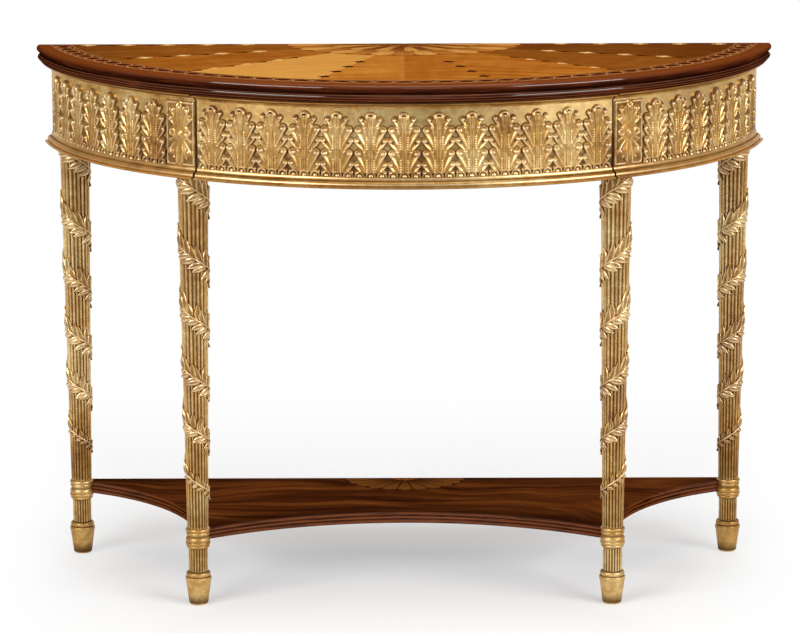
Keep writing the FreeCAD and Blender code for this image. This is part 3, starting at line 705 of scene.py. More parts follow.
def lobe(x, y, line, width, height, curled=True):
    # height and painted shade of a lobe along a bowed line: raised outer edge, dished inner side, rolled end
    t = np.linspace(0, 1, 48)
    root, bow, tip = np.array(line, float)
    path = np.outer((1 - t) ** 2, root) + np.outer(2 * t * (1 - t), bow) + np.outer(t ** 2, tip)
    run = np.gradient(path, axis=0)
    run /= np.linalg.norm(run, axis=1)[:, None]
    outward = np.c_[run[:, 1], -run[:, 0]] * np.where(run[:, 1] < 0, -1, 1)[:, None]
    gapX = x[:, None] - path[:, 0]
    gapY = y[:, None] - path[:, 1]
    away = np.hypot(gapX, gapY)
    nearest = away.argmin(1)
    rows = np.arange(len(x))
    along = t[nearest]
    wide = width * (0.4 + 0.6 * softStep(0, 0.65, along))
    q = away[rows, nearest] / wide
    across = (gapX[rows, nearest] * outward[nearest, 0] + gapY[rows, nearest] * outward[nearest, 1]) / wide
    section = np.interp(across, (-1, -0.85, -0.3, 0.1, 0.45, 0.65, 1),
                        (0.30, 0.46, 0.34, 0.5, 0.93, 1.0, 0.7))
    shape = section * np.clip((1 - q) / 0.16, 0, 1) ** 0.5 * (0.6 + 0.4 * along)
    # painted shade on the dished inner side and along the outline
    shadeMarks = np.maximum(0.55 * softStep(0.2, -0.3, across), 0.95 * softStep(0.78, 0.97, q))
    if curled:
        # painted shade in the hollow under the roll
        eye = path[34] - outward[34] * width * 0.28
        hollow = np.hypot(x - eye[0], y - eye[1]) / (width * 0.52)
        shadeMarks = np.maximum(shadeMarks, 0.95 * softStep(1.0, 0.55, hollow))
        shape = shape * (1 - 0.5 * softStep(1.0, 0.4, hollow))
        knob = path[-1] - run[-1] * width * 0.2
        off = np.hypot(x - knob[0], y - knob[1]) / (width * 0.7)
        roll = 1.12 * dome(off)
        shadeMarks = np.where(roll > shape, 0.7 * softStep(0.7, 1.0, off), shadeMarks)
        shape = np.maximum(shape, roll)
    return shape * height, shadeMarks


def raiseOver(ground, form):
    # of two carved forms, each a height and a painted shade, the higher one shows
    higher = form[0] > ground[0]
    return np.where(higher, form[0], ground[0]), np.where(higher, form[1], ground[1])


leafSet = {
    "width": 54.2,
    "height": 99.0,
    "step": 0.92,
    "foot": 6.0,          # above the frieze field's foot
    "pitch": 4.98,        # degrees
    "sidePitch": 5.2,
    "drawerCount": 13,
    "sideCount": 7,
    "sideStart": 38.5,    # degrees
    # root, bow and tip of each lobe on the right half, then its half width and height
    "lobes": (
        ((6.5, 71), (10.0, 80), (14.8, 86.5), 4.6, 5.6),
        ((5.5, 56), (6.8, 66), (10.2, 73.5), 3.3, 5.6),
        ((6.5, 38), (10.5, 58), (19.6, 69.5), 7.0, 6.6),
        ((9.0, 34), (15.5, 44), (22.4, 52.5), 5.6, 5.8),
        ((5.5, 18), (6.8, 27), (10.2, 34.5), 3.1, 5.4),
        ((6.5, 0), (10.5, 20), (19.6, 32.0), 6.9, 6.4),
        ((9.0, -4), (15.0, 5), (22.2, 14.0), 5.6, 5.6),
        ((10.0, -8), (16.0, -4), (22.0, 1.0), 4.0, 4.6),
    ),
    # half width of the leaf's body at each height
    "spine": ((-2, 21), (8, 22), (20, 23), (32, 20), (40, 12), (47, 17), (57, 21), (68, 20), (78, 14),
              (86, 11), (92, 6)),
    "rib": 3.4,
    "beadLine": 5.9,
    "beadStep": 3.7,
    "bead": 1.8,
    "wedge": ((64, 2.6), (78, 4.4), (93, 7.2)),
    "hoodLevel": 88.8,
    "hoodRadius": 7.0,
    "hoodHalf": 2.2,
    "uneven": (0.05, 0.012),      # how the leaves differ in relief and lean
}


def leafHeight(x, y):
    opts = leafSet
    side = np.abs(x)
    levels, widths = zip(*opts["spine"])
    wide = np.interp(y, levels, widths)
    share = side / wide
    form = (3.0 * dome(share, 4) * (y < 90), 0.44 + 0.36 * softStep(0.8, 1.0, share))
    for root, bow, tip, width, tall in opts["lobes"]:
        form = raiseOver(form, lobe(side, y, (root, bow, tip), width, tall))
    # grooved midrib, with a beaded line on each side of it
    share = side / opts["rib"]
    groove = np.exp(-(side / 0.9) ** 2)
    rib = 4.8 * dome(share, 4) * (1 - 0.25 * groove) * softStep(80, 70, y)
    form = raiseOver(form, (rib, np.maximum(0.55 * groove, 0.6 * softStep(0.7, 1.0, share))))
    bead = np.hypot(side - opts["beadLine"], (y % opts["beadStep"]) - opts["beadStep"] / 2) / opts["bead"]
    rows = (y < 22) | ((y > 37) & (y < 60))
    form = raiseOver(form, (5.2 * dome(bead) * rows, 0.7 * softStep(0.6, 1.0, bead)))
    # hooded tip: a rounded hood over a slot painted dark as shade, and a wedge that narrows down into the
    # midrib
    level = y - opts["hoodLevel"]
    out = np.where(level > 0, np.hypot(x, level), side)
    form = raiseOver(form, (2.5 * (out < opts["hoodRadius"]) * (level > -1), np.full(len(x), 0.75)))
    ridge = (out - opts["hoodRadius"]) / opts["hoodHalf"]
    hood = 8.0 * dome(ridge) * softStep(-4, 0, level)
    form = raiseOver(form, (hood, 0.85 * softStep(0.7, 1.0, ridge)))
    levels, widths = zip(*opts["wedge"])
    share = side / np.interp(y, levels, widths)
    groove = np.exp(-((share - 0.36) / 0.13) ** 2)
    wedge = 7.0 * dome(share, 6) * (1 - 0.2 * groove) * softStep(66, 74, y)
    wedge = wedge * softStep(92.6, 91.4, y)
    return raiseOver(form, (wedge, np.maximum(0.4 * groove, 0.75 * softStep(0.82, 1.0, share))))


def blurred(sheet, times):
    for turn in range(times):
        padded = np.pad(sheet, 1, mode="edge")
        sheet = (padded[:-2, 1:-1] + padded[2:, 1:-1] + padded[1:-1, :-2] + padded[1:-1, 2:]
                 + 2 * padded[1:-1, 1:-1]) / 6
    return sheet


sheetSet = {
    "ground": -0.4,       # mm, just under the face that the carving stands on
    "bare": 0.12,         # what rises less is ground
    "shadowReach": 14,    # rounds of blurring that find the hollows
}


def carvedSheet(name, opts, heightOf):
    # a flat grid, raised point by point; bare ground is cut away
    freshStart()
    width = opts["width"]
    height = opts["height"]
    ground = sheetSet["ground"]
    bpy.ops.mesh.primitive_grid_add(x_subdivisions=round(width / opts["step"]),
                                    y_subdivisions=round(height / opts["step"]), size=1)
    sheet = bpy.context.object
    sheet.name = name
    points = readPoints(sheet)
    x = points[:, 0] * width
    y = (points[:, 1] + 0.5) * height
    raised, shadeMarks = heightOf(x, y)
    across = len(np.unique(points[:, 0].round(5)))
    order = np.lexsort((points[:, 0].round(5), points[:, 1].round(5)))
    square = blurred(raised[order].reshape(-1, across), 1)
    shadeMarks = shadeMarks[order].reshape(-1, across)
    # the cavity: painted shade in hollows, along low edges and at the marks, painted highlight on the crests
    around = blurred(square, sheetSet["shadowReach"])
    hollow = np.clip((around - square) / 2.2, 0, 1) ** 0.8
    lowEdge = np.clip(1 - square / 1.8, 0, 1) * 0.9
    crest = np.clip((square - around) / 2.4, 0, 1) * (shadeMarks < 0.1)
    cavity = np.clip(np.maximum(np.maximum(hollow, lowEdge), shadeMarks), 0, 1) - crest
    back = np.empty(len(order), int)
    back[order] = np.arange(len(order))
    raised = square.ravel()[back]
    setValues(sheet, "cavity", cavity.ravel()[back])
    lifted = np.where(raised > sheetSet["bare"], raised, ground)
    writePoints(sheet, np.c_[x, y, lifted] * mm)
    pick(sheet, "FACE", lambda face: max(lifted[v] for v in face.vertices) <= ground)
    bpy.ops.mesh.delete(type="FACE")
    bpy.ops.object.mode_set(mode="OBJECT")
    return sheet


leafModel = carvedSheet("leafModel", leafSet, leafHeight)
print("leaf carved:", len(leafModel.data.vertices), "points")


def setRound(model, name, count, pitch, middle, foot, uneven=None):
    # copies of a carved model side by side round the frieze; angles in degrees
    shape = readPoints(model)
    pieces = []
    for number in range(count):
        angle = math.radians(middle + (number - (count - 1) / 2) * pitch)
        piece = copyPiece(model, f"{name}{number}")
        points = shape.copy()
        if uneven:
            points[:, 2] *= 1 + uneven[0] * rng.standard_normal()
            points[:, 0] += uneven[1] * rng.standard_normal() * points[:, 1]
        writePoints(piece, wrapOnFrieze(points, angle, foot, table["friezeRadius"]))
        pieces.append(piece)
    return joinPieces(pieces, name)


sideMiddle = leafSet["sideStart"] + leafSet["sideCount"] * leafSet["sidePitch"] / 2
# each panel of the frieze: name, count of leaves, pitch and middle angle, body
panels = (
    ("drawer", leafSet["drawerCount"], leafSet["pitch"], 0, "drawer"),
    ("left", leafSet["sideCount"], leafSet["sidePitch"], -sideMiddle, "carcase"),
    ("right", leafSet["sideCount"], leafSet["sidePitch"], sideMiddle, "carcase"),
)
for panel, count, pitch, middle, body in panels:
    band = setRound(leafModel, f"{panel}Leaves", count, pitch, middle,
                    table["friezeFoot"] + leafSet["foot"] * mm, leafSet["uneven"])
    finishPiece(band, gilt, body, (f"{panel}_leaf_band",), 60)
bpy.data.objects.remove(leafModel)
print("leaf bands set")

# scalloped beads on the fillet under the leaves
beadSet = {
    "perLeaf": 3,
    # reach and rise of each ring, from the edge to the middle
    "profile": ((8.7, -0.4), (8.6, 2.8), (8.0, 4.3), (6.6, 4.4), (5.6, 3.2), (5.2, 1.2), (4.4, 1.2),
                (3.8, 2.8), (2.2, 4.0), (0.05, 4.4)),
    "steps": 9,
    "tall": 1.16,
    "groove": (4.1, 5.4),
    "rim": 8.4,
    "shadeMarks": (0.9, 0.8, -0.3),    # painted shade in the groove and at the rim, a painted highlight elsewhere
}


def makeScallop():
    # rings drawn in towards the middle, then the lower half cut off
    scallop = turned("scallopModel", beadSet["profile"], beadSet["steps"] * 2, "NOTHING")
    bpy.ops.mesh.select_all(action="SELECT")
    bpy.ops.mesh.bisect(plane_co=(0, 0, 0), plane_no=(0, 1, 0), clear_inner=True)
    bpy.ops.object.mode_set(mode="OBJECT")
    bpy.ops.object.transform_apply(location=True, rotation=True, scale=True)
    tidyMesh(scallop)
    points = readPoints(scallop)
    out = np.hypot(points[:, 0], points[:, 1]) / mm
    inGroove = (out > beadSet["groove"][0]) & (out < beadSet["groove"][1])
    # painted shade in the groove and on the rim, painted highlight on the rest
    deep, edge, glintAndWear = beadSet["shadeMarks"]
    setValues(scallop, "cavity", np.where(inGroove, deep, np.where(out > beadSet["rim"], edge, glintAndWear)))
    writePoints(scallop, points * (1, beadSet["tall"], 1))
    return scallop


scallopModel = makeScallop()
for panel, count, pitch, middle, body in panels:
    each = beadSet["perLeaf"]
    row = setRound(scallopModel, f"{panel}Scallops", count * each, pitch / each, middle, table["friezeFoot"])
    tidyMesh(row)
    finishPiece(row, gilt, body, (f"{panel}_bead_row",), 50)
bpy.data.objects.remove(scallopModel)
print("scallop rows set")

# plaques over the front legs: a fillet frame round a ball, curls and leaf sprays
plaqueSet = {
    "middle": 35.75,      # degrees
    "width": 58.7,
    "height": 106.5,
    "foot": 0.5,
    "step": 1.0,
    "frame": 5.2,
    "frameRelief": 3.2,
    "ball": 6.5,
    "shadeMarks": 0.6,         # share of the apron leaves' painted shade
    # half width of the foliage at each level from the ball's middle
    "body": ((-46, 5), (-40, 12), (-33, 19), (-22, 14), (-12, 12), (-6, 19), (4, 20.5), (10, 19), (14, 13),
             (22, 19), (34, 19.5), (42, 15), (47, 5)),
    # root, bow and tip of each leaf on the right half
    "sprays": (
        ((5.5, 7), (10.0, 19), (19.0, 25), 6.4, 5.6, True),
        ((2.5, 9), (5.0, 28), (14.5, 39.0), 6.8, 6.0, True),
        ((0.0, 6), (0.05, 26), (0.1, 44), 7.2, 6.6, True),
        ((6.0, -6), (13.0, -10), (20.5, -13), 3.8, 5.0, False),
        ((3.5, -7), (9.0, -20), (18.5, -31), 7.2, 6.2, True),
        ((0.0, -6), (0.05, -24), (0.1, -43), 9.0, 6.8, False),
        ((9.8, -40.5), (10.2, -40.1), (10.6, -39.5), 4.2, 5.8, False),
    ),
    "scroll": (15.6, 1.5, 5.0, 1.9),      # place from the ball, radius and half width of the ring
}


def plaqueHeight(x, y):
    opts = plaqueSet
    side = np.abs(x)
    level = y - opts["height"] / 2
    edge = np.minimum(opts["width"] / 2 - side, opts["height"] / 2 - np.abs(level))
    frameTop = np.clip(np.minimum(edge / 0.9, (opts["frame"] - edge) / 0.9), 0, 1)
    form = (0.35 + opts["frameRelief"] * frameTop * (edge > 0), np.where(edge < opts["frame"], 0.0, 0.35))
    levels, widths = zip(*opts["body"])
    share = side / np.interp(level, levels, widths)
    form = raiseOver(form, (4.4 * dome(share, 4), 0.2 + 0.4 * softStep(0.8, 1.0, share)))
    for root, bow, tip, width, tall, curled in opts["sprays"]:
        raised, shadeMarks = lobe(side, level, (root, bow, tip), width, tall, curled)
        form = raiseOver(form, (raised, shadeMarks * opts["shadeMarks"]))
    across, up, radius, half = opts["scroll"]
    ring = (np.hypot(side - across, level - up) - radius) / half
    form = raiseOver(form, (5.6 * dome(ring), 0.6 * softStep(0.7, 1.0, np.abs(ring))))
    out = np.hypot(x, level) / opts["ball"]
    return raiseOver(form, (7.0 * dome(out), 0.85 * softStep(0.75, 1.0, out)))


plaqueModel = carvedSheet("plaqueModel", plaqueSet, plaqueHeight)
plaquePoints = readPoints(plaqueModel)
for name, hand in (("left", -1), ("right", 1)):
    plaque = copyPiece(plaqueModel, f"{name}Plaque")
    angle = math.radians(plaqueSet["middle"] * hand)
    writePoints(plaque, wrapOnFrieze(plaquePoints, angle, table["friezeFoot"] + plaqueSet["foot"] * mm,
                                     table["friezeRadius"]))
    finishPiece(plaque, gilt, "carcase", (f"{name}_patera_plaque",), 60)
bpy.data.objects.remove(plaqueModel)
print("plaques set")

# legs: turned mouldings, flutes and a leafy garland that winds round the shaft
legSet = {
    "steps": 160,
    "flutes": 20,
    "land": 0.3,          # share of a flute's pitch that stays flat
    "shaftFoot": 132.0,
    "shaftTop": 731.0,
    "footRadius": 17.6,
    "topRadius": 25.3,
    "neckFoot": 56.0,
    "neckTop": 98.5,
    "neckRadius": 15.9,
    "depth": 0.095,       # of a flute, as a share of the radius
    # dirt from kicks and mopping: foot, neck, collar and the start of the shaft
    "wearLevels": (0, 50, 57, 97, 101, 131, 136, 280),
    "wear": (0.22, 0.18, 0.42, 0.42, 0.26, 0.26, 0.14, 0.0),
    "places": {
        "front_left": (-0.34721, -0.09102),
        "front_right": (0.34721, -0.09102),
        "rear_left": (-0.57048, 0.2355),
        "rear_right": (0.57048, 0.2355),
    },
}


def bead(radius, foot, top, swell, count=6):
    # rings of a half-round moulding
    rings = []
    for step in range(count + 1):
        turn = math.pi * step / count
        rings.append((radius + swell * math.sin(turn), (foot + top) / 2 - (top - foot) / 2 * math.cos(turn)))
    return rings


def fluted(foot, top, footRadius, topRadius, count):
    # rings of a fluted stretch, with each flute running out round at its ends
    rings = []
    ends = (0.0, 1.0, 2.4, 4.2)
    shares = (0.0, 0.62, 0.92, 1.0)
    levels = [(foot + end, share) for end, share in zip(ends, shares)]
    inner = np.linspace(foot + ends[-1], top - ends[-1], count)[1:-1]
    levels += [(level, 1.0) for level in inner]
    levels += [(top - end, share) for end, share in zip(reversed(ends), reversed(shares))]
    for level, share in levels:
        radius = footRadius + (topRadius - footRadius) * (level - foot) / (top - foot)
        rings.append((radius, level, legSet["depth"] * radius * share))
    return rings


def legRings():
    # radius and height of each ring, from the sole up
    opts = legSet
    rings = [(12.6, 0.0), (14.4, 0.6), (15.6, 2.2), (16.0, 4.0), (18.4, 21.0), (20.6, 37.5), (20.9, 40.6)]
    rings += bead(21.0, 41.0, 48.0, 1.0) + [(19.2, 48.3), (18.6, 48.7)]
    rings += bead(18.6, 49.0, 56.0, 1.9)
    rings += fluted(opts["neckFoot"] + 0.4, opts["neckTop"] - 0.4, opts["neckRadius"], opts["neckRadius"], 3)
    rings += bead(18.0, 98.6, 103.1, 1.2) + bead(19.7, 103.4, 108.8, 1.0)
    rings += [(20.1, 110.4), (20.4, 112.2), (20.2, 114.2), (19.4, 116.0), (18.2, 117.4), (17.5, 118.2),
              (17.5, 119.8)]
    rings += bead(18.0, 120.1, 125.9, 1.5) + bead(18.9, 126.2, 131.8, 1.5)
    rings += fluted(opts["shaftFoot"] + 0.2, opts["shaftTop"] - 0.4, opts["footRadius"], opts["topRadius"], 8)
    rings += [(opts["topRadius"], opts["shaftTop"])]
    return [(*ring, 0.0) if len(ring) == 2 else ring for ring in rings]


def makeLeg():
    opts = legSet
    rings = legRings()
    leg = turned("legModel", rings, opts["steps"], "NGON")
    bpy.ops.object.mode_set(mode="OBJECT")
    # sink the flutes, ring by ring
    points = readPoints(leg)
    out = np.hypot(points[:, 0], points[:, 1])
    turn = np.arctan2(points[:, 1], points[:, 0])
    phase = (turn / (2 * math.pi) * opts["flutes"]) % 1
    inFlute = np.clip((phase - opts["land"]) / (1 - opts["land"]), 0, 1)
    sink = np.sin(math.pi * inFlute) ** 0.75
    levels = np.array([ring[1] for ring in rings])
    depths = np.array([ring[2] for ring in rings])
    nearest = np.abs(points[:, 2][:, None] / mm - levels).argmin(1)
    depth = depths[nearest] * sink
    scale = np.where(out > 1e-6, (out - depth * mm) / np.maximum(out, 1e-6), 1)
    points[:, 0] *= scale
    points[:, 1] *= scale
    writePoints(leg, points)
    radii = np.array([ring[0] for ring in rings])
    around = np.convolve(np.pad(radii, 2, mode="edge"), np.ones(5) / 5, mode="valid")
    # painted shade in the narrow hollows between the rings
    dip = np.clip((around - radii) / 1.2, 0, 1)
    cut = np.clip(depths[nearest] / (opts["depth"] * radii[nearest]), 0, 1)
    # painted shade in the flutes and painted highlight on the lands
    shadeAndGlint = cut * (1.75 * sink ** 3 - 0.28)
    glintAndWear = np.interp(points[:, 2] / mm, opts["wearLevels"], opts["wear"])
    setValues(leg, "cavity", np.clip(shadeAndGlint + dip[nearest] + glintAndWear, -1, 1))
    tidyMesh(leg)
    return leg


garlandSet = {
    "crossings": (712.5, 595.0, 494.2, 392.6, 303.1, 213.7),  # heights where the stem passes the leg's front
    "top": 727.0,
    "foot": 176.0,
    "stemRadius": 1.5,
    "stemRise": 2.0,
    "leafSpacing": 13.0,
    "leafTop": 730.5,
    "runOn": (60, 100),   # how far the stem's turn is carried on past the top and bottom crossings
    # the leaves grow small and sparse in the lowest turn
    "levels": (176, 236, 276, 727),
    "sizes": (0.46, 0.64, 0.86, 1.06),
    "gaps": (1.8, 1.6, 1.0, 1.0),
    # length, width, splay from the stem in degrees and rise of the leaves under and over the stem
    "hangingLeaf": (27.0, 13.0, 46, 3.9),
    "risingLeaf": (31.0, 14.0, 36, 2.1),
}


def shaftRadius(level):
    opts = legSet
    share = (level - opts["shaftFoot"]) / (opts["shaftTop"] - opts["shaftFoot"])
    return opts["footRadius"] + (opts["topRadius"] - opts["footRadius"]) * share


def stemTurn(level):
    # turns of the stem at a height, whole where it passes the front
    heights = np.array(garlandSet["crossings"])
    turns = np.arange(len(heights), dtype=float)
    topRate = 1 / (heights[0] - heights[1])
    footRate = 1 / (heights[-2] - heights[-1])
    above, below = garlandSet["runOn"]
    heights = np.concatenate(([heights[0] + above], heights, [heights[-1] - below]))
    turns = np.concatenate(([-above * topRate], turns, [turns[-1] + below * footRate]))
    return np.interp(level, heights[::-1], turns[::-1])


def onShaft(angle, level, rise):
    reach = shaftRadius(level) + rise
    return np.c_[reach * np.sin(angle), -reach * np.cos(angle), level] * mm


def makeGarlandLeaf(dished):
    # a pointed leaf, keeled along its middle or dished with a raised rim
    freshStart()
    bpy.ops.mesh.primitive_grid_add(x_subdivisions=6, y_subdivisions=7, size=1)
    leaf = bpy.context.object
    leaf.name = "garlandLeaf"
    points = readPoints(leaf)
    along = points[:, 1] + 0.5
    over = points[:, 0] * 2
    wide = np.sin(math.pi * np.clip(along, 0.0, 1) ** 0.8) ** 0.85
    wide = np.maximum(wide, 0.12 * (1 - along))
    off = np.abs(over)
    vein = np.exp(-(over / 0.18) ** 2)
    rim = off > 0.9
    # painted shade in the dish, the vein, along the rim and at the root; painted highlight elsewhere
    if dished:
        rise = np.where(rim, 0.0, 0.35 + 0.55 * softStep(0.1, 0.65, off) + 0.3 * along)
        shadeAndGlint = np.where(off < 0.4, 0.6, -0.7)
    else:
        rise = 0.62 * (1 - off ** 1.6) + 0.38 * off * (1 - off) - 0.22 * vein
        rise = rise * np.sin(math.pi * np.clip(along * 0.86 + 0.1, 0, 1)) ** 0.35 + 0.4 * along ** 2
        shadeAndGlint = 1.0 * vein - 0.6
    writePoints(leaf, np.c_[over * wide * 0.5, along, rise])
    setValues(leaf, "cavity", np.clip(np.where(rim, 1.0, shadeAndGlint) + 1.2 * (along < 0.1), -1, 1))
    return leaf


def makeGarland():
    opts = garlandSet
    # the stem first: a bevelled curve made a mesh
    levels = np.linspace(opts["top"], opts["foot"], 260)
    angles = stemTurn(levels) * 2 * math.pi
    swell = np.clip((levels - opts["foot"]) / 25, 0.25, 1)
    path = onShaft(angles, levels, opts["stemRise"])
    stem = traced("garlandStem", path, {"dimensions": "3D", "bevel_depth": opts["stemRadius"] * mm,
                                        "bevel_resolution": 2}, swell)
    # painted highlight along the stem
    setValues(stem, "cavity", np.full(len(stem.data.vertices), -0.4))
    pieces = [stem]
    models = {"hangingLeaf": makeGarlandLeaf(False), "risingLeaf": makeGarlandLeaf(True)}
    shapes = {kind: readPoints(model) for kind, model in models.items()}
    # walk down the stem and set a leaf to each side, pointing back up it
    step = np.concatenate(([0], np.cumsum(np.linalg.norm(np.diff(path, axis=0), axis=1)))) / mm
    walk = opts["leafSpacing"] * 0.5
    number = 0
    while walk < step[-1] - 4:
        level = np.interp(walk, step, levels)
        angle = np.interp(walk, step, angles)
        radius = shaftRadius(level)
        ahead = (stemTurn(level + 1) - stemTurn(level - 1)) * 2 * math.pi * radius / 2
        heading = math.atan2(1.0, ahead)
        size = np.interp(level, opts["levels"], opts["sizes"])
        for hand in (-1, 1):
            hangs = math.sin(heading + hand) < math.sin(heading - hand)
            kind = "hangingLeaf" if hangs else "risingLeaf"
            leaf = copyPiece(models[kind], f"garlandLeaf{number}")
            shape = shapes[kind]
            length, width, splay, tall = opts[kind]
            splay = math.radians(splay + 7 * rng.standard_normal()) * hand
            length = length * size * (1 + 0.08 * rng.standard_normal())
            width = width * size
            over = shape[:, 0] * width
            along = shape[:, 1] * length + 0.6
            bow = splay + hand * 0.25 * (shape[:, 1] - 0.5)
            across = along * np.cos(heading + bow) - over * np.sin(heading + bow)
            up = along * np.sin(heading + bow) + over * np.cos(heading + bow)
            leafLevel = np.clip(level + up, legSet["shaftFoot"], opts["leafTop"])
            rise = np.maximum(shape[:, 2] * tall * (0.9 + 0.2 * rng.random()) + 0.2, -0.5)
            writePoints(leaf, onShaft(angle + across / radius, leafLevel, rise))
            pieces.append(leaf)
            number += 1
        walk += opts["leafSpacing"] * size * np.interp(level, opts["levels"], opts["gaps"])
    for model in models.values():
        bpy.data.objects.remove(model)
    return joinPieces(pieces, "garlandModel")


legModel = makeLeg()
garlandModel = makeGarland()
legPoints = readPoints(legModel)
garlandPoints = readPoints(garlandModel)
for name, (x, y) in legSet["places"].items():
    hand = -1 if x < 0 else 1
    leg = copyPiece(legModel, f"{name}Leg")
    writePoints(leg, legPoints + np.array((x, y, 0)))
    finishPiece(leg, gilt, "carcase", (f"{name}_leg",), 30)
    garland = copyPiece(garlandModel, f"{name}Garland")
    # the garlands of the two sides wind opposite ways
    writePoints(garland, garlandPoints * np.array((-hand, 1, 1)) + np.array((x, y, 0)))
    if hand > 0:
        garland.data.flip_normals()
    finishPiece(garland, gilt, "carcase", (), 60)
bpy.data.objects.remove(legModel)
bpy.data.objects.remove(garlandModel)
print("legs and garlands set")

# marquetry of the top
fieldSet = {
    "thickness": 0.0015,
    "seams": (0, 17.3, 45, 67.5),     # degrees from the middle line
    # grain direction in degrees and tone of each sector, from the middle outwards: left, then right
    "grain": ((2, 14, 24, 8), (-2, -14, -24, -8)),
    "tone": ((0.62, 0.88, 0.30, 0.20), (0.36, 0.39, 0.18, 0.0)),
}


def startDisc(name, reach, height, fill, steps=360):
    # a circle round the centre of the top's arc
    freshStart()
    bpy.ops.mesh.primitive_circle_add(vertices=steps, radius=reach, fill_type=fill,
                                      location=(0, table["centreY"], height))
    disc = bpy.context.object
    disc.name = name
    bpy.ops.object.transform_apply(location=True, rotation=True, scale=True)
    editAll()
    return disc


def cutAtBack(height, across, clear=False):
    # a straight cut through the middle of the back edge
    bpy.ops.mesh.select_all(action="SELECT")
    bpy.ops.mesh.bisect(plane_co=(0, table["backY"], height), plane_no=across, clear_outer=clear)


def thicken(obj, rise):
    bpy.ops.mesh.select_all(action="SELECT")
    drawOut(rise)
    bpy.ops.object.mode_set(mode="OBJECT")
    tidyMesh(obj)


def makeField():
    opts = fieldSet
    top = table["topHeight"]
    field = startDisc("topField", table["fieldRadius"], top, "NGON")
    cutAtBack(top, (0, 1, 0), True)
    for seam in opts["seams"]:
        for hand in ((1,) if seam == 0 else (-1, 1)):
            turn = math.radians(seam) * hand
            cutAtBack(top, (math.cos(turn), math.sin(turn), 0))
    thicken(field, -opts["thickness"])
    grains = []
    tones = []
    for face in field.data.polygons:
        x, y, z = face.center
        turn = math.degrees(math.atan2(abs(x), table["backY"] - y + 1e-9))
        sector = sum(turn > seam for seam in opts["seams"]) - 1
        side = 0 if x < 0 else 1
        grains.append(math.radians(opts["grain"][side][max(sector, 0)]))
        tones.append(opts["tone"][side][max(sector, 0)])
    for name, values in (("grain", grains), ("tone", tones)):
        layer = field.data.attributes.new(name, "FLOAT", "FACE")
        layer.data.foreach_set("value", values)
    return finishPiece(field, satinwood, "carcase", ("top_field",), 30)


makeField()


def flatPiece(name, outline, height, finish, thickness=0.0002):
    # an outline cut from veneer
    places = [(x, y, 0) for x, y in outline]
    settings = {"dimensions": "2D", "fill_mode": "BOTH", "extrude": thickness / 2}
    piece = traced(name, places, settings, closed=True)
    piece.location = (0, 0, height - thickness / 2)
    piece.data.materials.append(finish)
    bpy.ops.object.transform_apply(location=True, rotation=True, scale=True)
    return piece


def joinInlay(pieces, name, replaced=()):
    joined = joinPieces(pieces, name)
    tidyMesh(joined)
    return finishPiece(joined, None, "carcase", replaced, 30)


def arcStrip(inner, outer, foot, top, finish, name):
    # a flat ring round the arc centre, cut off at the wall and given its thickness
    strip = startDisc(name, outer, top, "NOTHING")
    drawOut(0, inner / outer, (0, table["centreY"], top))
    cutAtBack(top, (0, 1, 0), True)
    thicken(strip, foot - top)
    strip.data.materials.append(finish)
    return strip


bandSet = {
    "pitch": 33.0,        # mm along the middle of the band
    "middle": 0.6065,
    "ringLength": 34.5,
    "ringWidth": 28.0,
    "coreLength": 19.0,
    "coreWidth": 13.0,
    "ringInset": 4.6,
    "line": 0.0016,
    "lineBed": 0.0004,
    "lineLift": 0.00006,  # each layer of veneer stands a hair over the one below
    "darkLift": 0.00005,
}


def oval(length, width, count=22):
    turns = np.linspace(0, 2 * math.pi, count, endpoint=False)
    return np.c_[np.cos(turns) * length / 2, np.sin(turns) * width / 2]


def bendAlongBand(outline, angle):
    reach = bandSet["middle"] + outline[:, 1] * mm
    turn = angle + outline[:, 0] * mm / bandSet["middle"]
    return np.c_[reach * np.sin(turn), table["centreY"] - reach * np.cos(turn)]


def makeBand():
    opts = bandSet
    top = table["topHeight"]
    line = opts["line"]
    inset = opts["ringInset"]
    bed = top - opts["lineBed"]
    ground = top - fieldSet["thickness"]
    pieces = [arcStrip(table["fieldRadius"], table["bandRadius"], ground, top, crossband, "bandGround")]
    for reach, inner, outer in ((table["fieldRadius"], 1, 2), (table["bandRadius"] - line, -1, 0)):
        pieces.append(arcStrip(reach, reach + line, bed, top + opts["lineLift"], inlayTan, "bandLine"))
        pieces.append(arcStrip(reach + line * inner, reach + line * outer, bed, top + opts["darkLift"],
                               inlayDark, "bandLineDark"))
    end = math.acos((table["centreY"] - table["backY"]) / opts["middle"])
    count = int(2 * end * opts["middle"] / mm / opts["pitch"]) // 2 * 2 - 1
    for number in range(count):
        angle = (number - (count - 1) / 2) * opts["pitch"] * mm / opts["middle"]
        layers = (
            (opts["ringLength"], opts["ringWidth"], 0.00010, inlayTan),
            (opts["ringLength"] - inset, opts["ringWidth"] - inset, 0.00015, crossband),
            (opts["coreLength"], opts["coreWidth"], 0.00020, inlayDark),
        )
        for length, width, lift, finish in layers:
            outline = bendAlongBand(oval(length, width), angle)
            pieces.append(flatPiece(f"bandOval{number}", outline, top + lift, finish))
    return joinInlay(pieces, "topBand", ("top_band",))


makeBand()
print("field and band laid")

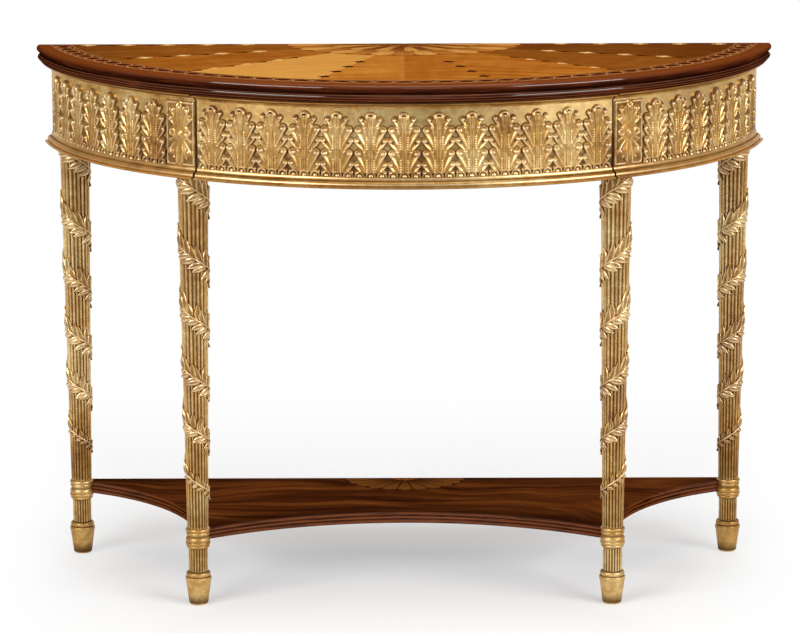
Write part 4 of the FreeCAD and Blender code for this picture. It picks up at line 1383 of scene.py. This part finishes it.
# bellflowers and husks, half outlines in mm from the root, growing along y
huskSet = {
    "lift": 0.0001,
    "bellflower": ((0, 0), (2.6, 0.8), (3.6, 4), (7.5, 8), (10.5, 15), (9.6, 20), (6.6, 16.5), (4.6, 21),
                   (2.4, 19.5), (0, 28)),
    "husk": ((0, 0), (2.2, 0.6), (3.2, 4.5), (7.4, 9.5), (8.2, 14), (5.2, 13), (3.2, 16.5), (0, 22)),
    "tooth": ((0, 0), (3.6, 2.0), (5.6, 8.5), (2.4, 9.5), (1.4, 17.5), (0, 19)),
    # angle from the middle line, first and last distance from the back's middle, step, kinds in turn, scale
    "chains": (
        (17.3, 236, 500, 62.0, (("bellflower", "dark"),), 0.95),
        (45.0, 252, 540, 36.0, (("tooth", "dark"), ("tooth", "light")), 1.15),
        (67.8, 252, 560, 34.0, (("husk", "light"), ("tooth", "dark")), 1.3),
        (88.4, 258, 590, 34.0, (("husk", "light"), ("tooth", "dark")), 1.25),
    ),
}


def makeHusks():
    opts = huskSet
    pieces = []
    finishOf = {"light": inlayLight, "dark": inlayDark}
    for hand in (-1, 1):
        for angle, first, last, step, kinds, scale in opts["chains"]:
            turn = math.radians(angle) * hand
            count = int((last - first) / step) + 1
            for number in range(count):
                kind, colour = kinds[number % len(kinds)]
                half = np.array(opts[kind], float) * scale
                outline = np.concatenate((half, (half * (-1, 1))[-2:0:-1]))
                reach = first + number * step
                x = (reach + outline[:, 1]) * math.sin(turn) + outline[:, 0] * math.cos(turn)
                y = -(reach + outline[:, 1]) * math.cos(turn) + outline[:, 0] * math.sin(turn)
                spots = np.c_[x * mm, table["backY"] + y * mm]
                reachCentre = np.hypot(spots[:, 0], spots[:, 1] - table["centreY"]).max()
                if reachCentre > table["fieldRadius"] - 0.002:
                    continue
                spots[:, 1] = np.minimum(spots[:, 1], table["backY"] - 0.0005)
                pieces.append(flatPiece(f"husk{len(pieces)}", spots, table["topHeight"] + opts["lift"],
                                        finishOf[colour]))
    return joinInlay(pieces, "topHusks")


makeHusks()
print("husk chains laid")


def petalOutline(middle, spread, inner, outer, shoulder, count=9):
    # a petal in shares of an oval: narrow root, parallel sides, round end
    points = [(inner, middle - spread * 0.35)]
    for turn in np.linspace(-math.pi / 2, math.pi / 2, count):
        points.append((shoulder + (outer - shoulder) * math.cos(turn), middle + spread * math.sin(turn)))
    points.append((inner, middle + spread * 0.35))
    return points


def ovalSpots(points, fan):
    # shares of a fan's oval to places on the table
    spots = []
    for rho, turn in points:
        y = fan["backY"] - fan["depth"] * rho * math.cos(turn)
        spots.append((fan["halfWidth"] * rho * math.sin(turn), min(y, fan["backY"] - fan["backGap"])))
    return spots


def makeFan(name, opts, replaced):
    top = opts["top"]
    rim = [(1.0, turn) for turn in np.linspace(-math.pi / 2, math.pi / 2, 60)]
    pieces = [flatPiece(f"{name}Ground", ovalSpots(rim, opts), top + opts["lift"], opts["ground"],
                        opts["thickness"])]
    for layer, (count, inner, outer, shoulder, offset, lift, finishes) in enumerate(opts["layers"]):
        pitch = math.pi / count
        for number in range(count + (1 if offset else 0)):
            middle = -math.pi / 2 + (number + (0 if offset else 0.5)) * pitch
            outline = petalOutline(middle, pitch * opts["fill"], inner, outer, shoulder)
            outline = [(rho, min(max(turn, -math.pi / 2), math.pi / 2)) for rho, turn in outline]
            pieces.append(flatPiece(f"{name}Petal{layer}x{number}", ovalSpots(outline, opts), top + lift,
                                    finishes[number % len(finishes)]))
    return joinInlay(pieces, name, replaced)


pateraSet = {
    "halfWidth": 0.205,
    "depth": 0.158,
    "backY": table["backY"],
    "top": table["topHeight"],
    "thickness": 0.0015,
    "lift": 0.00004,
    "backGap": 0.0002,
    "fill": 0.5,
    "ground": inlayBrown,
}
palePetal = makeShadedPetal("petalPale", pateraSet, shade(196, 130, 56), shade(220, 162, 84),
                            shade(120, 58, 18), 0.40, 0.86)
tawnyPetal = makeShadedPetal("petalTawny", pateraSet, shade(166, 96, 34), shade(194, 124, 52),
                             shade(96, 42, 12), 0.40, 0.90)
innerPetal = makeShadedPetal("petalInner", pateraSet, shade(190, 124, 52), shade(212, 152, 76),
                             shade(104, 48, 14), 0.12, 0.52)
# each ring of petals: count, inner, outer and shoulder share, whether set half a petal round, lift, finishes
pateraSet["layers"] = (
    (15, 0.30, 0.985, 0.88, False, 0.00010, (palePetal, tawnyPetal)),
    (15, 0.16, 0.64, 0.56, True, 0.00020, (innerPetal, tawnyPetal)),
    (9, 0.02, 0.30, 0.24, False, 0.00030, (tawnyPetal, innerPetal)),
)
makeFan("topPatera", pateraSet, ("top_patera",))

shelfFanSet = {
    "halfWidth": 0.108,
    "depth": 0.086,
    "backY": table["shelfBackY"],
    "top": table["shelfTop"],
    "thickness": 0.001,
    "lift": 0.00004,
    "backGap": 0.0002,
    "fill": 0.46,
    "ground": makeInlay("fanGround", shade(44, 18, 7), shade(70, 32, 12)),
}
fanPetal = makeShadedPetal("petalShelf", shelfFanSet, shade(98, 56, 22), shade(130, 80, 34),
                           shade(46, 21, 8), 0.15, 0.85)
shelfFanSet["layers"] = (
    (11, 0.16, 0.98, 0.88, False, 0.00010, (fanPetal,)),
    (5, 0.01, 0.22, 0.16, False, 0.00020, (inlayBrown,)),
)
makeFan("shelfFan", shelfFanSet, ("shelf_fan",))
print("patera and fan laid")

# stage: pale floor, white surround, soft lamps
stageSet = {
    "floorSize": 10,
    "floorMiddle": (0, 3.0, 0),
    "floor": (0.94, 0.94, 0.94, 1),
    "paperSides": (0.42, 0.74),       # where the paper fades into the white
    "paperDepth": (0.3, 1.6),
    "paperWhite": 0.33,
    "worldBehind": 0.36,
    "worldFront": 0.115,
    "worldAbove": 0.28,
    "behind": (-0.25, 0.5),
    "above": (0.2, 0.9),
    "mirrored": (0.7, 1.0),
    # place, aim, width, height and watts of each lamp
    "lamps": (
        ("leftLamp", (-3.2, -3.4, 2.2), (0, 0, 0.6), 3.0, 1.4, 170),
        ("rightLamp", (3.6, -2.8, 2.1), (0, 0, 0.6), 3.0, 1.4, 166),
        ("frontLamp", (0.7, -5.6, 2.9), (0, 0, 0.6), 1.5, 1.0, 10),
        ("topLamp", (0.2, -0.6, 3.8), (0, 0, 0.9), 2.4, 2.4, 32),
        ("backLamp", (0.0, 4.0, 3.2), (0, 0, 0.6), 2.4, 2.4, 30),
    ),
}


def seenDirectly(wire):
    camera = wire.node("ShaderNodeLightPath", {}, {}, "Is Camera Ray")
    glossy = wire.node("ShaderNodeLightPath", {}, {}, "Is Glossy Ray")
    through = wire.node("ShaderNodeLightPath", {}, {}, "Is Transmission Ray")
    return camera, most(glossy, through)


def makeStage():
    opts = stageSet
    freshStart()
    bpy.ops.mesh.primitive_plane_add(size=opts["floorSize"], location=opts["floorMiddle"])
    floor = bpy.context.object
    floor.name = "floor"
    bpy.ops.object.transform_apply(location=True, rotation=True, scale=True)
    finish, shader, place = newFinish("floorPaper")
    tree = finish.node_tree
    x, y, z = split(place)
    camera, mirrored = seenDirectly(place)
    direct = most(camera, mirrored)
    white = place.node("ShaderNodeEmission", {}, {"Color": (1, 1, 1, 1), "Strength": 1.0})
    feed(shader, Base_Color=opts["floor"], Roughness=0.9)
    # far off and out to the sides, the paper fades into the white
    sideways = fade(abs(x), *opts["paperSides"], opts["paperWhite"])
    share = direct * most(sideways, fade(y, *opts["paperDepth"], opts["paperWhite"]))
    mixed = place.node("ShaderNodeMixShader", {}, {0: share, 1: Wire(tree, shader.outputs[0]), 2: white})
    tree.links.new(mixed.socket, tree.nodes["Material Output"].inputs["Surface"])
    floor.data.materials.append(finish)
    world = bpy.data.worlds.new("studio")
    bpy.context.scene.world = world
    world.use_nodes = True
    background = world.node_tree.nodes["Background"]
    background.inputs["Color"].default_value = (1, 1, 1, 1)
    # a white sweep behind the table and a dim room before it; the camera sees white all round
    aim = Wire(world.node_tree).node("ShaderNodeTexCoord", {}, {}, "Generated")
    x, y, z = split(aim)
    behind = fade(y, *opts["behind"])
    room = opts["worldFront"] + (opts["worldBehind"] - opts["worldFront"]) * behind
    room = room + fade(z, *opts["above"]) * (1 - behind) * (opts["worldAbove"] - opts["worldFront"])
    camera, mirrored = seenDirectly(aim)
    direct = most(camera, mirrored * fade(y, *opts["mirrored"]))
    strength = direct + (1 - direct) * room
    world.node_tree.links.new(strength.socket, background.inputs["Strength"])
    for name, place, aim, width, height, watts in opts["lamps"]:
        bpy.ops.object.light_add(type="AREA", location=place)
        lamp = bpy.context.object
        lamp.name = name
        lamp.data.energy = watts
        lamp.data.shape = "RECTANGLE"
        lamp.data.size = width
        lamp.data.size_y = height
        lamp.rotation_euler = (Vector(aim) - Vector(place)).to_track_quat("-Z", "Y").to_euler()


makeStage()

cameraSet = {
    "place": (-0.00796, -5.80068, 1.67755),
    "pitch": 0.2048,
    "roll": -0.0024,
    "lens": 158.73,
    "sensor": 36,
}


def makeCamera():
    opts = cameraSet
    view = bpy.data.cameras.new("photoView")
    view.sensor_width = opts["sensor"]
    view.lens = opts["lens"]
    camera = bpy.data.objects.new("photoView", view)
    bpy.context.scene.collection.objects.link(camera)
    camera.location = opts["place"]
    camera.rotation_mode = "ZYX"
    camera.rotation_euler = (math.pi / 2 - opts["pitch"], 0, opts["roll"])
    bpy.context.scene.camera = camera


makeCamera()
bpy.context.scene.view_settings.view_transform = "Standard"
print("stage and camera set")
